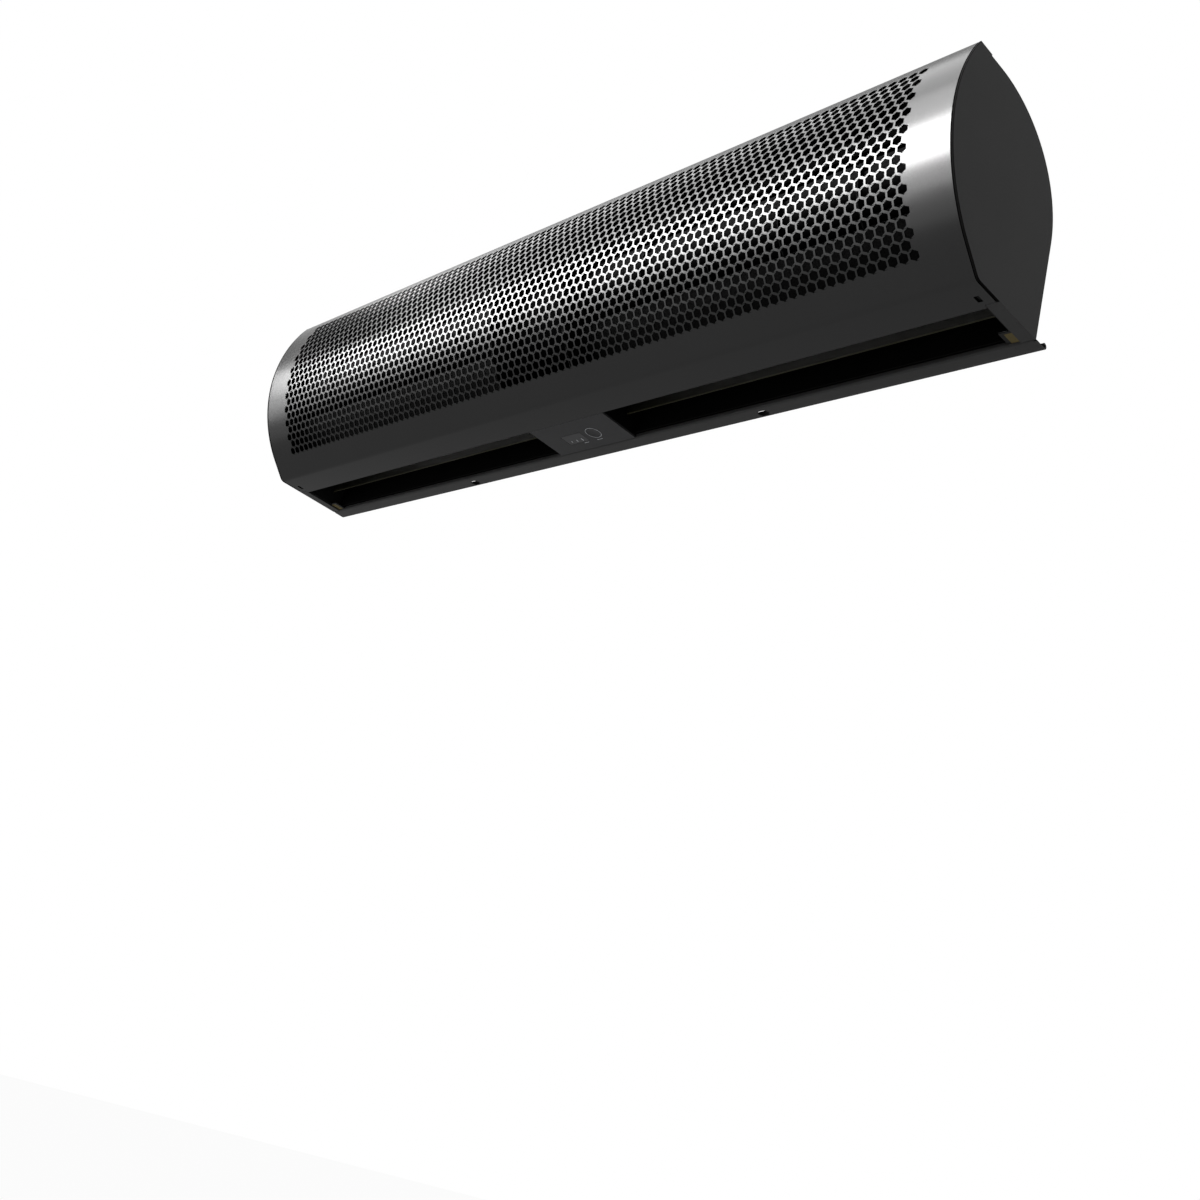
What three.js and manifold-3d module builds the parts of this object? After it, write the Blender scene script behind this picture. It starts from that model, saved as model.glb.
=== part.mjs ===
// Wall-mounted air curtain: two cross-flow impellers on one central motor blow air down through
// a slot along the rear underside of a long steel casing with a curved, perforated front cover.
// Millimetres. X runs along the casing (right is +X seen from the front), Y points into the wall,
// Z is up. The model's origin is on the wall plate's rear face. Inside the casing group, Y 0 is the
// casing's rear face and Z 0 is its underside, and section points are written [y, z].
import * as THREE from 'three';
import { mergeGeometries, mergeVertices } from 'three/addons/utils/BufferGeometryUtils.js';
import Module from 'manifold-3d';

// ---- Clearances ---------------------------------------------------------------------------------
const FIT = 0.3; // between two pieces that rest on each other, or a shaft and its hole
const SEAM = 1.0; // open seam between the cover's ends and the end caps

// ---- Sheet thicknesses --------------------------------------------------------------------------
const SHELL_SHEET = 1.2;
const COVER_SHEET = 1.0;
const CAP_SHEET = 1.5;
const GUIDE_SHEET = 1.0;
const PLATE_SHEET = 1.5;

// ---- Casing -------------------------------------------------------------------------------------
const CASING_LENGTH = 903; // over the end caps
const WALL_GAP = 14; // wall to the casing's rear face
const MOUNT_HEIGHT = 70; // origin above the casing's underside
const REAR_WALL_HEIGHT = 85.5; // flat part of the rear wall
const REAR_RADIUS = 92; // rear top curve
const FRONT_RADIUS = 142; // front curve
const FRONT_REACH = -134.5; // the front curve's most forward point
const FRONT_HEIGHT = 118; // its height
const FRONT_ARC_END = 225.4; // degrees, where the front curve runs out into the straight slope
const LOWER_BEND_RADIUS = 8;
const COVER_LIP_FLAT = 14.8; // the cover's flat top lip, behind its top edge
const COVER_LIP_LAP = 12; // how far the shell's top runs on under that lip
const OUTLET_FRONT = -45.3; // the cover's bottom edge

// ---- Intake perforation: hexagons in rows, every other row shifted by half a pitch --------------
const HOLE_PITCH = 36;
const HOLE_FLATS = 26;
const HOLE_MARGIN = 33; // least plain strip at each end of the cover
const TOP_MARGIN = 13; // least plain strip under its top edge, along the curve

// ---- Rear flange with its rolled bead -----------------------------------------------------------
const BEAD_RADIUS = 2.5;
const BEAD_CURL = 200; // degrees
const FLANGE_HOLE_X = 195;
const FLANGE_HOLE = { y: 7.6, length: 11, width: 7 };

// ---- End caps and the slots beside them ---------------------------------------------------------
const CAP_LIP_SHEET = 1.2;
const CAP_LIP_DEPTH = 9.5;
const CAP_FOOT_FRONT = -48.5;
const COVER_SLOT = { x: 7.3, front: -59.7, length: 6.7, width: 4 };

// ---- Wall plate and hangers ---------------------------------------------------------------------
const WALL_PLATE = { length: 660, low: 14, high: 80, lipReach: 7, lipRise: 10 };
const CABLE_WINDOW = { width: 76, low: 22, high: 58 };
const WALL_SLOT = { width: 7, length: 16, z: 40, inset: 40, innerX: 110 };
const HANGER = { inset: 80, width: 60, low: 50 };

// ---- Rotor --------------------------------------------------------------------------------------
const AXIS = [-66, 98];
const IMPELLER_RADIUS = 46;
const IMPELLER_START = 54;
const IMPELLER_END_GAP = 6.7; // impeller's end disc to the side plate
const BLADE_COUNT = 16;
const BLADE = { depth: 12, sheet: 1, tilt: 28 };
const DISC_SHEET = 2;
const HUB = { radius: 10, length: 18 };
const SHAFT_RADIUS = 5;
const SHAFT_IN_HUB = 16;
const STUB_RADIUS = 4;
const STUB_LENGTH = 14;

// ---- Bearings -----------------------------------------------------------------------------------
const BEARING = { radius: 11, length: 9 };
const BEARING_SEAT = { radius: 17, flangeRadius: 19.5, flange: 2.4 };

// ---- Motor --------------------------------------------------------------------------------------
const MOTOR = { radius: 42, half: 34, wall: 3.4, endWall: 3, bossRadius: 15, bossLength: 10 };
const CORE = { rotorRadius: 24, airGap: 0.5, half: 22 };
const MOTOR_RING = { wall: 3.7, length: 5 };
const CRADLE = { sheet: 2, earX: 39, low: 49, reachLow: 28, reachHigh: 28 };
const STRAP_WALL = 3;
const STRAP_BOW = 80; // degrees of the strap's bow to each side of its front

// ---- Bulkheads, guides and vanes ----------------------------------------------------------------
const CENTRE_HALF = 50; // half the width of the motor compartment
const FOOT_TAB = { length: 8.9, front: -14.4 };
const SIDE_FLANGE = { width: 11.7, low: 15, high: 80 };
const VOLUTE = { wallY: -4.7, endRadius: 54, endAngle: 120, low: 3.4 };
const VOLUTE_FLARE = [-101, 152];
const TONGUE_FOOT = 14;
const TONGUE_PATH = [[-46, 16.5], [-86, 47], [-96, 58]];
const VANE = { y: -21, pivotZ: 30, below: 18, above: 12, thickness: 2.4 };
const VANE_PIN_RADIUS = 2;
const VANE_PIN_ROOT = 5; // length of the pin buried in the vane
const VANE_INNER_GAP = 4; // vane to the partition
const VANE_OUTER_GAP = 7.7; // vane to the side plate

// ---- Control panel and electrics ----------------------------------------------------------------
const PANEL_SHEET = 2;
const KEY = { x: 15, y: -22, radius: 6.9, flange: 1.7, flangeHeight: 1.1 };
const WINDOW = { x: -12, y: -20, width: 26, depth: 14, sheet: 1 };
const BOARD = { halfX: 40, front: -41, rear: -5, z: 8, sheet: 1.6 };
const BOARD_POST = { inset: 5, radius: 2.5 };
const KEY_TRAVEL = 1.2;
const KEY_SWITCH = 6; // width and depth of the switch over the key
const RELAY = { x: -30, spacing: 18, y: -38, width: 14, depth: 10, height: 11 };
const TRANSFORMER = { x: 10, y: -20, width: 22, depth: 13, height: 14 };
const CHIP = { x: -8, y: -18, width: 10, depth: 8, height: 2 };
const TRAY = { slopeGap: 3.8, rear: -50, z: 8, sheet: 1.2, rise: 12 };
const CAPACITOR = { x: -24, y: -64, width: 36, depth: 20, height: 26 };
const TERMINAL = { x: 24, y: -63, width: 38, depth: 18, height: 9, ribs: 5 };
const GROMMET = { x: 25, z: 36, bore: 4.5, neck: 7.2, flange: 10, inner: 3, outer: 2.3 };

// ---- Screws -------------------------------------------------------------------------------------
const SCREW = { radius: 2, head: 3.8, headHeight: 2.4, tip: -3.3 };
const MOTOR_SCREW = { x: 22, low: 56, high: 78 };
const HANGER_SCREW = { spacing: 36, z: 60 };
const SIDE_SCREW = { inset: 5.2, low: 25, high: 68 };

// ---- Worked-out places --------------------------------------------------------------------------
const TOP_Z = REAR_WALL_HEIGHT + REAR_RADIUS;
const LAP = FIT + COVER_SHEET; // how far the cover's lip stands above the shell's top
const FRONT_CENTRE = [FRONT_REACH + FRONT_RADIUS, FRONT_HEIGHT];
const COVER_TOP_ANGLE = frontAngle(TOP_Z + LAP, 0);
const COVER_LIP_END = onCircle(FRONT_CENTRE, FRONT_RADIUS, COVER_TOP_ANGLE)[0] + COVER_LIP_FLAT;
const HALF = CASING_LENGTH / 2;
const CAP_INNER = HALF - CAP_SHEET;
const SHELL_END = CAP_INNER - FIT;
const COVER_END = CAP_INNER - SEAM;
const CAP_LIP_START = CAP_INNER - CAP_LIP_DEPTH;
const ROW_STEP = degrees(HOLE_PITCH * Math.sqrt(3) / 2 / FRONT_RADIUS);
const PERFORATED_ARC = FRONT_ARC_END - COVER_TOP_ANGLE - degrees(TOP_MARGIN / FRONT_RADIUS);
const HOLE_ROWS = Math.floor(PERFORATED_ARC / ROW_STEP);
const HOLES_LONG_ROW = Math.floor(2 * (COVER_END - HOLE_MARGIN) / HOLE_PITCH);
const BULKHEAD_INSET = SHELL_SHEET + FIT;
const SIDE_OUTER = CAP_LIP_START - FIT;
const SIDE_INNER = SIDE_OUTER - PLATE_SHEET;
const IMPELLER_END = SIDE_INNER - IMPELLER_END_GAP;
const BEARING_START = SIDE_INNER + (PLATE_SHEET - BEARING.length) / 2;
const PARTITION_INNER = CENTRE_HALF - PLATE_SHEET;
const VANE_START = CENTRE_HALF + VANE_INNER_GAP;
const VANE_END = SIDE_INNER - VANE_OUTER_GAP;
const GUIDE_START = CENTRE_HALF + FIT;
const GUIDE_END = SIDE_INNER - FIT;
const HANGER_X = WALL_PLATE.length / 2 - HANGER.inset;
const WALL_SLOT_X = [WALL_SLOT.innerX, WALL_PLATE.length / 2 - WALL_SLOT.inset];
const PANEL_TOP = PANEL_SHEET + FIT;
const SCREW_HOLE = SCREW.radius + FIT;
const BORE = SHAFT_RADIUS + FIT;
const RING_RADIUS = MOTOR.bossRadius + FIT + MOTOR_RING.wall;
const SADDLE_RADIUS = RING_RADIUS + FIT;
const BIG = 1000; // longer than any piece, for tools that cut right through
const OVERCUT = 1; // how far a shorter cutting tool runs past a face

const ROUND = 20; // sides of a turned piece
const SMALL_ROUND = 10; // sides of a screw or pin

const wasm = await Module();
wasm.setup();

// ---- Outlines in the casing's section -----------------------------------------------------------

function rad(angle) {
  return THREE.MathUtils.degToRad(angle);
}

function degrees(angle) {
  return THREE.MathUtils.radToDeg(angle);
}

function onCircle([y, z], radius, angle) {
  return [y + radius * Math.cos(rad(angle)), z + radius * Math.sin(rad(angle))];
}

function arc(centre, radius, from, to, steps) {
  const points = [];
  for (let i = 0; i <= steps; i += 1) {
    points.push(onCircle(centre, radius, from + (to - from) * i / steps));
  }
  return points;
}

function circle(centre, radius, sides) {
  return arc(centre, radius, 0, 360, sides).slice(0, sides);
}

function rectangle(y0, y1, z0, z1) {
  return [[y0, z0], [y1, z0], [y1, z1], [y0, z1]];
}

// Replaces a corner by an arc that touches both of its sides.
function fillet(before, corner, after, radius, steps) {
  const a = new THREE.Vector2(...before).sub(new THREE.Vector2(...corner)).normalize();
  const b = new THREE.Vector2(...after).sub(new THREE.Vector2(...corner)).normalize();
  const halfAngle = Math.acos(a.dot(b)) / 2;
  const toCentre = a.clone().add(b).setLength(radius / Math.sin(halfAngle));
  const centre = [corner[0] + toCentre.x, corner[1] + toCentre.y];
  const tangent = radius / Math.tan(halfAngle);
  const start = a.clone().multiplyScalar(tangent).sub(toCentre);
  const end = b.clone().multiplyScalar(tangent).sub(toCentre);
  const from = degrees(start.angle());
  let turn = degrees(end.angle()) - from;
  if (turn > 180) turn -= 360;
  if (turn < -180) turn += 360;
  return arc(centre, radius, from, from + turn, steps);
}

// The closed outline of a sheet that follows a path, with its thickness on the path's right.
function ribbon(path, thickness) {
  const normals = path.slice(1).map(([y, z], i) => {
    const direction = new THREE.Vector2(y - path[i][0], z - path[i][1]).normalize();
    return new THREE.Vector2(direction.y, -direction.x);
  });
  const offset = path.map(([y, z], i) => {
    const n1 = normals[Math.max(i - 1, 0)];
    const n2 = normals[Math.min(i, normals.length - 1)];
    const mitre = n1.clone().add(n2).multiplyScalar(thickness / (1 + n1.dot(n2)));
    return [y + mitre.x, z + mitre.y];
  });
  return [...path, ...offset.reverse()];
}

// Degrees on the front curve, drawn in by an inset, at which it reaches a height.
function frontAngle(z, inset) {
  return 180 - degrees(Math.asin((z - FRONT_CENTRE[1]) / (FRONT_RADIUS - inset)));
}

// The place of the straight slope at a height, drawn in by an inset.
function slopeY(z, inset) {
  const [y, top] = onCircle(FRONT_CENTRE, FRONT_RADIUS - inset, FRONT_ARC_END);
  return y + (top - z) * Math.tan(rad(FRONT_ARC_END));
}

// Points down the front: the plain strip under the apex, one facet for each row of holes, the
// straight slope, and the soft bend into the bottom at the height of the inset.
function frontCurve(topZ, inset) {
  const radius = FRONT_RADIUS - inset;
  const points = [onCircle(FRONT_CENTRE, radius, frontAngle(topZ, inset))];
  for (let row = HOLE_ROWS; row >= 0; row -= 1) {
    points.push(onCircle(FRONT_CENTRE, radius, FRONT_ARC_END - row * ROW_STEP));
  }
  const slopeTop = points[points.length - 1];
  const bend = [slopeY(inset, inset), inset];
  points.push(...fillet(slopeTop, bend, [-inset, inset], LOWER_BEND_RADIUS - inset, 4));
  return points;
}

// The whole casing section, drawn in by an inset. A lap raises the part under the cover's lip.
function section(inset, lap = 0) {
  const rear = arc([-REAR_RADIUS, REAR_WALL_HEIGHT], REAR_RADIUS - inset, 0, 90, 8);
  const step = lap > 0 ? [[COVER_LIP_END, TOP_Z - inset], [COVER_LIP_END, TOP_Z + lap]] : [];
  const front = frontCurve(lap > 0 ? TOP_Z + lap : TOP_Z - inset, inset);
  return [[-inset, inset], ...rear, ...step, ...front];
}

// ---- Solids -------------------------------------------------------------------------------------

const SECTION_TO_CASING = new THREE.Matrix4().makeBasis(
  new THREE.Vector3(0, 1, 0),
  new THREE.Vector3(0, 0, 1),
  new THREE.Vector3(1, 0, 0),
);

// A section outline carried from x0 to x1, with any holes cut through it.
function slab(outline, x0, x1, holes = []) {
  const shape = new THREE.Shape(outline.map(([y, z]) => new THREE.Vector2(y, z)));
  shape.holes = holes.map((hole) => new THREE.Path(hole.map(([y, z]) => new THREE.Vector2(y, z))));
  const low = Math.min(x0, x1);
  const geometry = new THREE.ExtrudeGeometry(shape, { depth: Math.abs(x1 - x0), bevelEnabled: false });
  return geometry.applyMatrix4(SECTION_TO_CASING).translate(low, 0, 0);
}

function box(x0, x1, y0, y1, z0, z1) {
  const size = [Math.abs(x1 - x0), Math.abs(y1 - y0), Math.abs(z1 - z0)];
  return new THREE.BoxGeometry(...size).translate((x0 + x1) / 2, (y0 + y1) / 2, (z0 + z1) / 2);
}

function rodX(centre, radius, x0, x1, sides = ROUND) {
  return slab(circle(centre, radius, sides), x0, x1);
}

function tubeX(centre, outer, inner, x0, x1) {
  return slab(circle(centre, outer, ROUND), x0, x1, [circle(centre, inner, ROUND)]);
}

function rodY(x, z, radius, y0, y1, sides = SMALL_ROUND) {
  const rod = new THREE.CylinderGeometry(radius, radius, Math.abs(y1 - y0), sides);
  return rod.translate(x, (y0 + y1) / 2, z);
}

function rodZ(x, y, radius, z0, z1, sides = ROUND) {
  const rod = new THREE.CylinderGeometry(radius, radius, Math.abs(z1 - z0), sides);
  return rod.rotateX(Math.PI / 2).translate(x, y, (z0 + z1) / 2);
}

// A closed profile of [along, radius] points, listed so that the turned solid's faces point out.
function turned(profile) {
  const points = [...profile, profile[0]].map(([along, radius]) => new THREE.Vector2(radius, along));
  const winding = THREE.ShapeUtils.area(points);
  return new THREE.LatheGeometry(winding > 0 ? points : points.reverse(), ROUND);
}

// Turns a profile round the line along X through a section point.
function turnedX(profile, [y, z]) {
  return turned(profile).rotateZ(-Math.PI / 2).translate(0, y, z);
}

// The same round the line along Y through a place [x, z].
function turnedY(profile, [x, z]) {
  return turned(profile).translate(x, 0, z);
}

function toManifold(geometry) {
  const bare = geometry.clone();
  bare.deleteAttribute('normal');
  bare.deleteAttribute('uv');
  const merged = mergeVertices(bare, 1e-4);
  return new wasm.Manifold(new wasm.Mesh({
    numProp: 3,
    vertProperties: new Float32Array(merged.attributes.position.array),
    triVerts: new Uint32Array(merged.index.array),
  }));
}

function toGeometry(manifold) {
  const mesh = manifold.getMesh();
  const geometry = new THREE.BufferGeometry();
  geometry.setAttribute('position', new THREE.BufferAttribute(new Float32Array(mesh.vertProperties), 3));
  geometry.setIndex(new THREE.BufferAttribute(new Uint32Array(mesh.triVerts), 1));
  return geometry;
}

function join(...geometries) {
  return toGeometry(geometries.map(toManifold).reduce((sum, next) => sum.add(next)));
}

// Cuts tools away from a body. The tools don't touch each other, so they go as one mesh.
function cut(body, ...tools) {
  const bare = tools.map((tool) => (tool.index ? tool.toNonIndexed() : tool));
  return toGeometry(toManifold(body).subtract(toManifold(mergeGeometries(bare))));
}

// ---- Materials ----------------------------------------------------------------------------------

function finish(color, roughness, metalness) {
  return new THREE.MeshStandardMaterial({ color, roughness, metalness });
}

const FINISH = {
  graphitePaint: finish(0x323232, 0.55, 0.1),
  pearlBlack: finish(0x4a4a4c, 0.3, 0.6),
  blackPaint: finish(0x0b0b0b, 0.7, 0.0),
  yellowZinc: finish(0x8a7b3c, 0.45, 0.8),
  zincSteel: finish(0x9a9da0, 0.4, 0.9),
  vaneOlive: finish(0x3a3a26, 0.5, 0.4),
  aluminium: finish(0x8f9294, 0.4, 0.9),
  rubber: finish(0x141414, 0.9, 0.0),
  bearingSteel: finish(0xa8a49a, 0.3, 0.9),
  shaftSteel: finish(0xb8babd, 0.25, 1.0),
  coreSteel: finish(0x55575a, 0.5, 0.8),
  motorEnamel: finish(0x2a2c30, 0.4, 0.3),
  blackPlastic: finish(0x1d1d1e, 0.45, 0.0),
  smokedPlastic: finish(0x0c0c0e, 0.15, 0.0),
  boardGreen: finish(0x1f5a34, 0.5, 0.0),
  capacitorCase: finish(0x202225, 0.5, 0.0),
  terminalPlastic: finish(0xd8d4c4, 0.5, 0.0),
};

// ---- Casing -------------------------------------------------------------------------------------

const bothSides = [-1, 1];

// The flange with its bead, the rear wall, the rear curve and the top, as one bent sheet.
function rearShell() {
  const beadY = WALL_GAP - FIT - BEAD_RADIUS;
  const path = [
    ...arc([beadY, BEAD_RADIUS], BEAD_RADIUS, BEAD_CURL - 90, -90, 8),
    [-SHELL_SHEET, 0],
    ...arc([-REAR_RADIUS, REAR_WALL_HEIGHT], REAR_RADIUS - SHELL_SHEET, 0, 90, 8),
    [COVER_LIP_END - COVER_LIP_LAP, TOP_Z - SHELL_SHEET],
  ];
  const sheet = slab(ribbon(path, SHELL_SHEET), -HALF, HALF);
  const ends = bothSides.map((side) => (
    box(side * SHELL_END, side * (HALF + SEAM), -BIG, FIT, -SEAM, BIG)));
  const flangeHoles = bothSides.map((side) => flangeSlot(side * FLANGE_HOLE_X));
  const grommetHole = rodY(GROMMET.x, GROMMET.z, GROMMET.neck + FIT, -SHELL_SHEET * 2, SHELL_SHEET, ROUND);
  return cut(sheet, ...ends, ...flangeHoles, grommetHole, ...screwHoles(-SHELL_SHEET * 2, SHELL_SHEET));
}

// A hole through the flange, longer along the casing than across it.
function flangeSlot(x) {
  const { y, length, width } = FLANGE_HOLE;
  const reach = (length - width) / 2;
  const outline = [
    ...arc([reach, 0], width / 2, -90, 90, 6),
    ...arc([-reach, 0], width / 2, 90, 270, 6),
  ];
  const shape = new THREE.Shape(outline.map((point) => new THREE.Vector2(...point)));
  const depth = SHELL_SHEET * 3;
  const tool = new THREE.ExtrudeGeometry(shape, { depth, bevelEnabled: false });
  return tool.translate(x, y, -SHELL_SHEET);
}

function frontCover() {
  const path = [
    [OUTLET_FRONT, 0],
    ...frontCurve(TOP_Z + LAP, 0).reverse(),
    [COVER_LIP_END, TOP_Z + LAP],
  ];
  const sheet = slab(ribbon(path, COVER_SHEET), -COVER_END, COVER_END);
  const corners = bothSides.map((side) => (
    box(side * (CAP_LIP_START - FIT), side * HALF, CAP_FOOT_FRONT - FIT, 0, -SEAM, LOWER_BEND_RADIUS)));
  const slots = bothSides.map((side) => {
    const outerX = side * (COVER_END - COVER_SLOT.x);
    const rear = COVER_SLOT.front + COVER_SLOT.length;
    return box(outerX, outerX - side * COVER_SLOT.width, COVER_SLOT.front, rear, -SEAM, LOWER_BEND_RADIUS);
  });
  return cut(sheet, ...corners, ...slots, ...intakeHoles());
}

// One hexagonal prism for each intake hole, square to the facet of its row.
function intakeHoles() {
  const hexagon = circle([0, 0], HOLE_FLATS / Math.sqrt(3), 6).map(([a, b]) => new THREE.Vector2(b, a));
  const depth = COVER_SHEET * 6;
  const prism = new THREE.ExtrudeGeometry(new THREE.Shape(hexagon), { depth, bevelEnabled: false });
  prism.translate(0, 0, -depth / 2);
  const facetRadius = FRONT_RADIUS * Math.cos(rad(ROW_STEP / 2));
  const holes = [];
  for (let row = 0; row < HOLE_ROWS; row += 1) {
    const angle = FRONT_ARC_END - (row + 0.5) * ROW_STEP;
    const count = HOLES_LONG_ROW - row % 2;
    const [y, z] = onCircle(FRONT_CENTRE, facetRadius, angle);
    const outward = new THREE.Vector3(0, Math.cos(rad(angle)), Math.sin(rad(angle)));
    const along = new THREE.Vector3(1, 0, 0);
    const frame = new THREE.Matrix4().makeBasis(along, outward.clone().cross(along), outward);
    for (let i = 0; i < count; i += 1) {
      const x = (i - (count - 1) / 2) * HOLE_PITCH;
      holes.push(prism.clone().applyMatrix4(frame.clone().setPosition(x, y, z)));
    }
  }
  return holes;
}

// A flat end plate, a lip that fits inside the cover and shell, and a foot beside the outlet.
function endCap(side) {
  const plate = slab(section(0, LAP), side * CAP_INNER, side * HALF);
  const lip = slab(
    section(BULKHEAD_INSET), side * CAP_LIP_START, side * (CAP_INNER + CAP_SHEET / 2),
    [section(BULKHEAD_INSET + CAP_LIP_SHEET)],
  );
  const overOutlet = box(side * (CAP_LIP_START - OVERCUT), side * CAP_INNER,
    CAP_FOOT_FRONT - FIT, 0, 0, BULKHEAD_INSET + CAP_LIP_SHEET + FIT);
  const foot = box(side * CAP_LIP_START, side * (CAP_INNER + CAP_SHEET / 2),
    CAP_FOOT_FRONT, -BULKHEAD_INSET, 0, CAP_LIP_SHEET);
  return join(plate, cut(lip, overOutlet), foot);
}

// ---- Wall plate and hangers ---------------------------------------------------------------------

function wallPlate() {
  const front = WALL_GAP - PLATE_SHEET;
  const under = WALL_PLATE.high - PLATE_SHEET;
  const lipFront = front - WALL_PLATE.lipReach;
  const path = [
    [front, WALL_PLATE.low],
    [front, under],
    [lipFront, under],
    [lipFront, WALL_PLATE.high + WALL_PLATE.lipRise],
  ];
  const sheet = slab(ribbon(path, PLATE_SHEET), -WALL_PLATE.length / 2, WALL_PLATE.length / 2);
  const half = CABLE_WINDOW.width / 2;
  const window = box(-half, half, front - OVERCUT, WALL_GAP + OVERCUT, CABLE_WINDOW.low, CABLE_WINDOW.high);
  const slots = bothSides.flatMap((side) => WALL_SLOT_X.map((x) => wallSlot(side * x)));
  return cut(sheet, window, ...slots);
}

function wallSlot(x) {
  const { width, length, z } = WALL_SLOT;
  const reach = (length - width) / 2;
  const outline = [
    ...arc([x, z + reach], width / 2, 0, 180, 6),
    ...arc([x, z - reach], width / 2, 180, 360, 6),
  ];
  const shape = new THREE.Shape(outline.map((point) => new THREE.Vector2(...point)));
  const depth = PLATE_SHEET * 3;
  const tool = new THREE.ExtrudeGeometry(shape, { depth, bevelEnabled: false });
  return tool.rotateX(Math.PI / 2).translate(0, WALL_GAP + PLATE_SHEET, 0);
}

// A hook on the casing's rear face that hangs over the wall plate's lip.
function hanger(side) {
  const restsOn = WALL_PLATE.high + WALL_PLATE.lipRise + FIT;
  const hookRear = WALL_GAP - WALL_PLATE.lipReach + FIT + PLATE_SHEET;
  const path = [
    [FIT, HANGER.low],
    [FIT, restsOn + PLATE_SHEET],
    [hookRear, restsOn + PLATE_SHEET],
    [hookRear, WALL_PLATE.high + FIT],
  ];
  const start = side * HANGER_X - HANGER.width / 2;
  const sheet = slab(ribbon(path, PLATE_SHEET), start, start + HANGER.width);
  const holes = hangerScrewPlaces(side).map(([x, z]) => rodY(x, z, SCREW_HOLE, 0, PLATE_SHEET * 2));
  return cut(sheet, ...holes);
}

// ---- Screws -------------------------------------------------------------------------------------

function motorScrewPlaces() {
  const { x, low, high } = MOTOR_SCREW;
  return [[-x, low], [x, low], [-x, high], [x, high]];
}

function hangerScrewPlaces(side) {
  return bothSides.map((end) => [side * HANGER_X + end * HANGER_SCREW.spacing / 2, HANGER_SCREW.z]);
}

function sideScrewPlaces(side) {
  return [SIDE_SCREW.low, SIDE_SCREW.high].map((z) => [side * (SIDE_INNER - SIDE_SCREW.inset), z]);
}

function screwHoles(y0, y1) {
  const places = [
    ...motorScrewPlaces(),
    ...bothSides.flatMap(hangerScrewPlaces),
    ...bothSides.flatMap(sideScrewPlaces),
  ];
  return places.map(([x, z]) => rodY(x, z, SCREW_HOLE, y0, y1));
}

// A pan-head screw driven forwards from behind the casing, its head seated on a face at headY.
function screw([x, z], headY) {
  const seat = headY + FIT;
  const shank = rodY(x, z, SCREW.radius, SCREW.tip, seat + SCREW.headHeight / 2);
  const head = rodY(x, z, SCREW.head, seat, seat + SCREW.headHeight);
  return join(head, shank);
}

// ---- Bulkheads and air guides -------------------------------------------------------------------

// The bearing plate at each end: it closes the blower and carries the bearing and a vane pin.
function sidePlate(side) {
  const inner = side * SIDE_INNER;
  const plate = slab(section(BULKHEAD_INSET), inner, side * SIDE_OUTER, [
    circle(AXIS, BEARING_SEAT.radius + FIT, ROUND),
    circle([VANE.y, VANE.pivotZ], VANE_PIN_RADIUS + FIT, SMALL_ROUND),
  ]);
  const root = side * (SIDE_INNER + PLATE_SHEET / 2);
  const tab = box(side * (SIDE_INNER - FOOT_TAB.length), root,
    FOOT_TAB.front, -BULKHEAD_INSET, BULKHEAD_INSET, BULKHEAD_INSET + PLATE_SHEET);
  const flange = box(side * (SIDE_INNER - SIDE_FLANGE.width), root,
    -BULKHEAD_INSET - PLATE_SHEET, -BULKHEAD_INSET, SIDE_FLANGE.low, SIDE_FLANGE.high);
  const behind = -BULKHEAD_INSET - PLATE_SHEET - OVERCUT;
  const holes = sideScrewPlaces(side).map(([x, z]) => rodY(x, z, SCREW_HOLE, behind, 0));
  return cut(join(plate, tab, flange), ...holes);
}

// The wall between the motor compartment and each blower.
function partition(side) {
  const plate = slab(section(BULKHEAD_INSET), side * PARTITION_INNER, side * CENTRE_HALF, [
    circle(AXIS, SHAFT_RADIUS * 2, ROUND),
    circle([VANE.y, VANE.pivotZ], VANE_PIN_RADIUS + FIT, SMALL_ROUND),
  ]);
  const overPanel = box(side * (PARTITION_INNER - OVERCUT), side * (CENTRE_HALF + OVERCUT),
    OUTLET_FRONT, 0, 0, PANEL_TOP);
  return cut(plate, overPanel);
}

// The rear air guide: straight up behind the outlet, then a spiral over the impeller.
function volute(side) {
  const startRadius = VOLUTE.wallY - AXIS[0];
  const steps = 9;
  const spiral = [];
  for (let i = 0; i <= steps; i += 1) {
    const share = i / steps;
    const radius = startRadius + (VOLUTE.endRadius - startRadius) * share;
    spiral.push(onCircle(AXIS, radius, VOLUTE.endAngle * share));
  }
  const path = [[VOLUTE.wallY, VOLUTE.low], ...spiral, VOLUTE_FLARE];
  return slab(ribbon(path, GUIDE_SHEET), side * GUIDE_START, side * GUIDE_END);
}

// The front air guide: a foot on the cover's bottom sheet and a lip that ends near the impeller.
function tongue(side) {
  const footZ = COVER_SHEET + FIT;
  const path = [[TONGUE_PATH[0][0] - TONGUE_FOOT, footZ], [TONGUE_PATH[0][0], footZ], ...TONGUE_PATH];
  return slab(ribbon(path, -GUIDE_SHEET), side * GUIDE_START, side * GUIDE_END);
}

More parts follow.
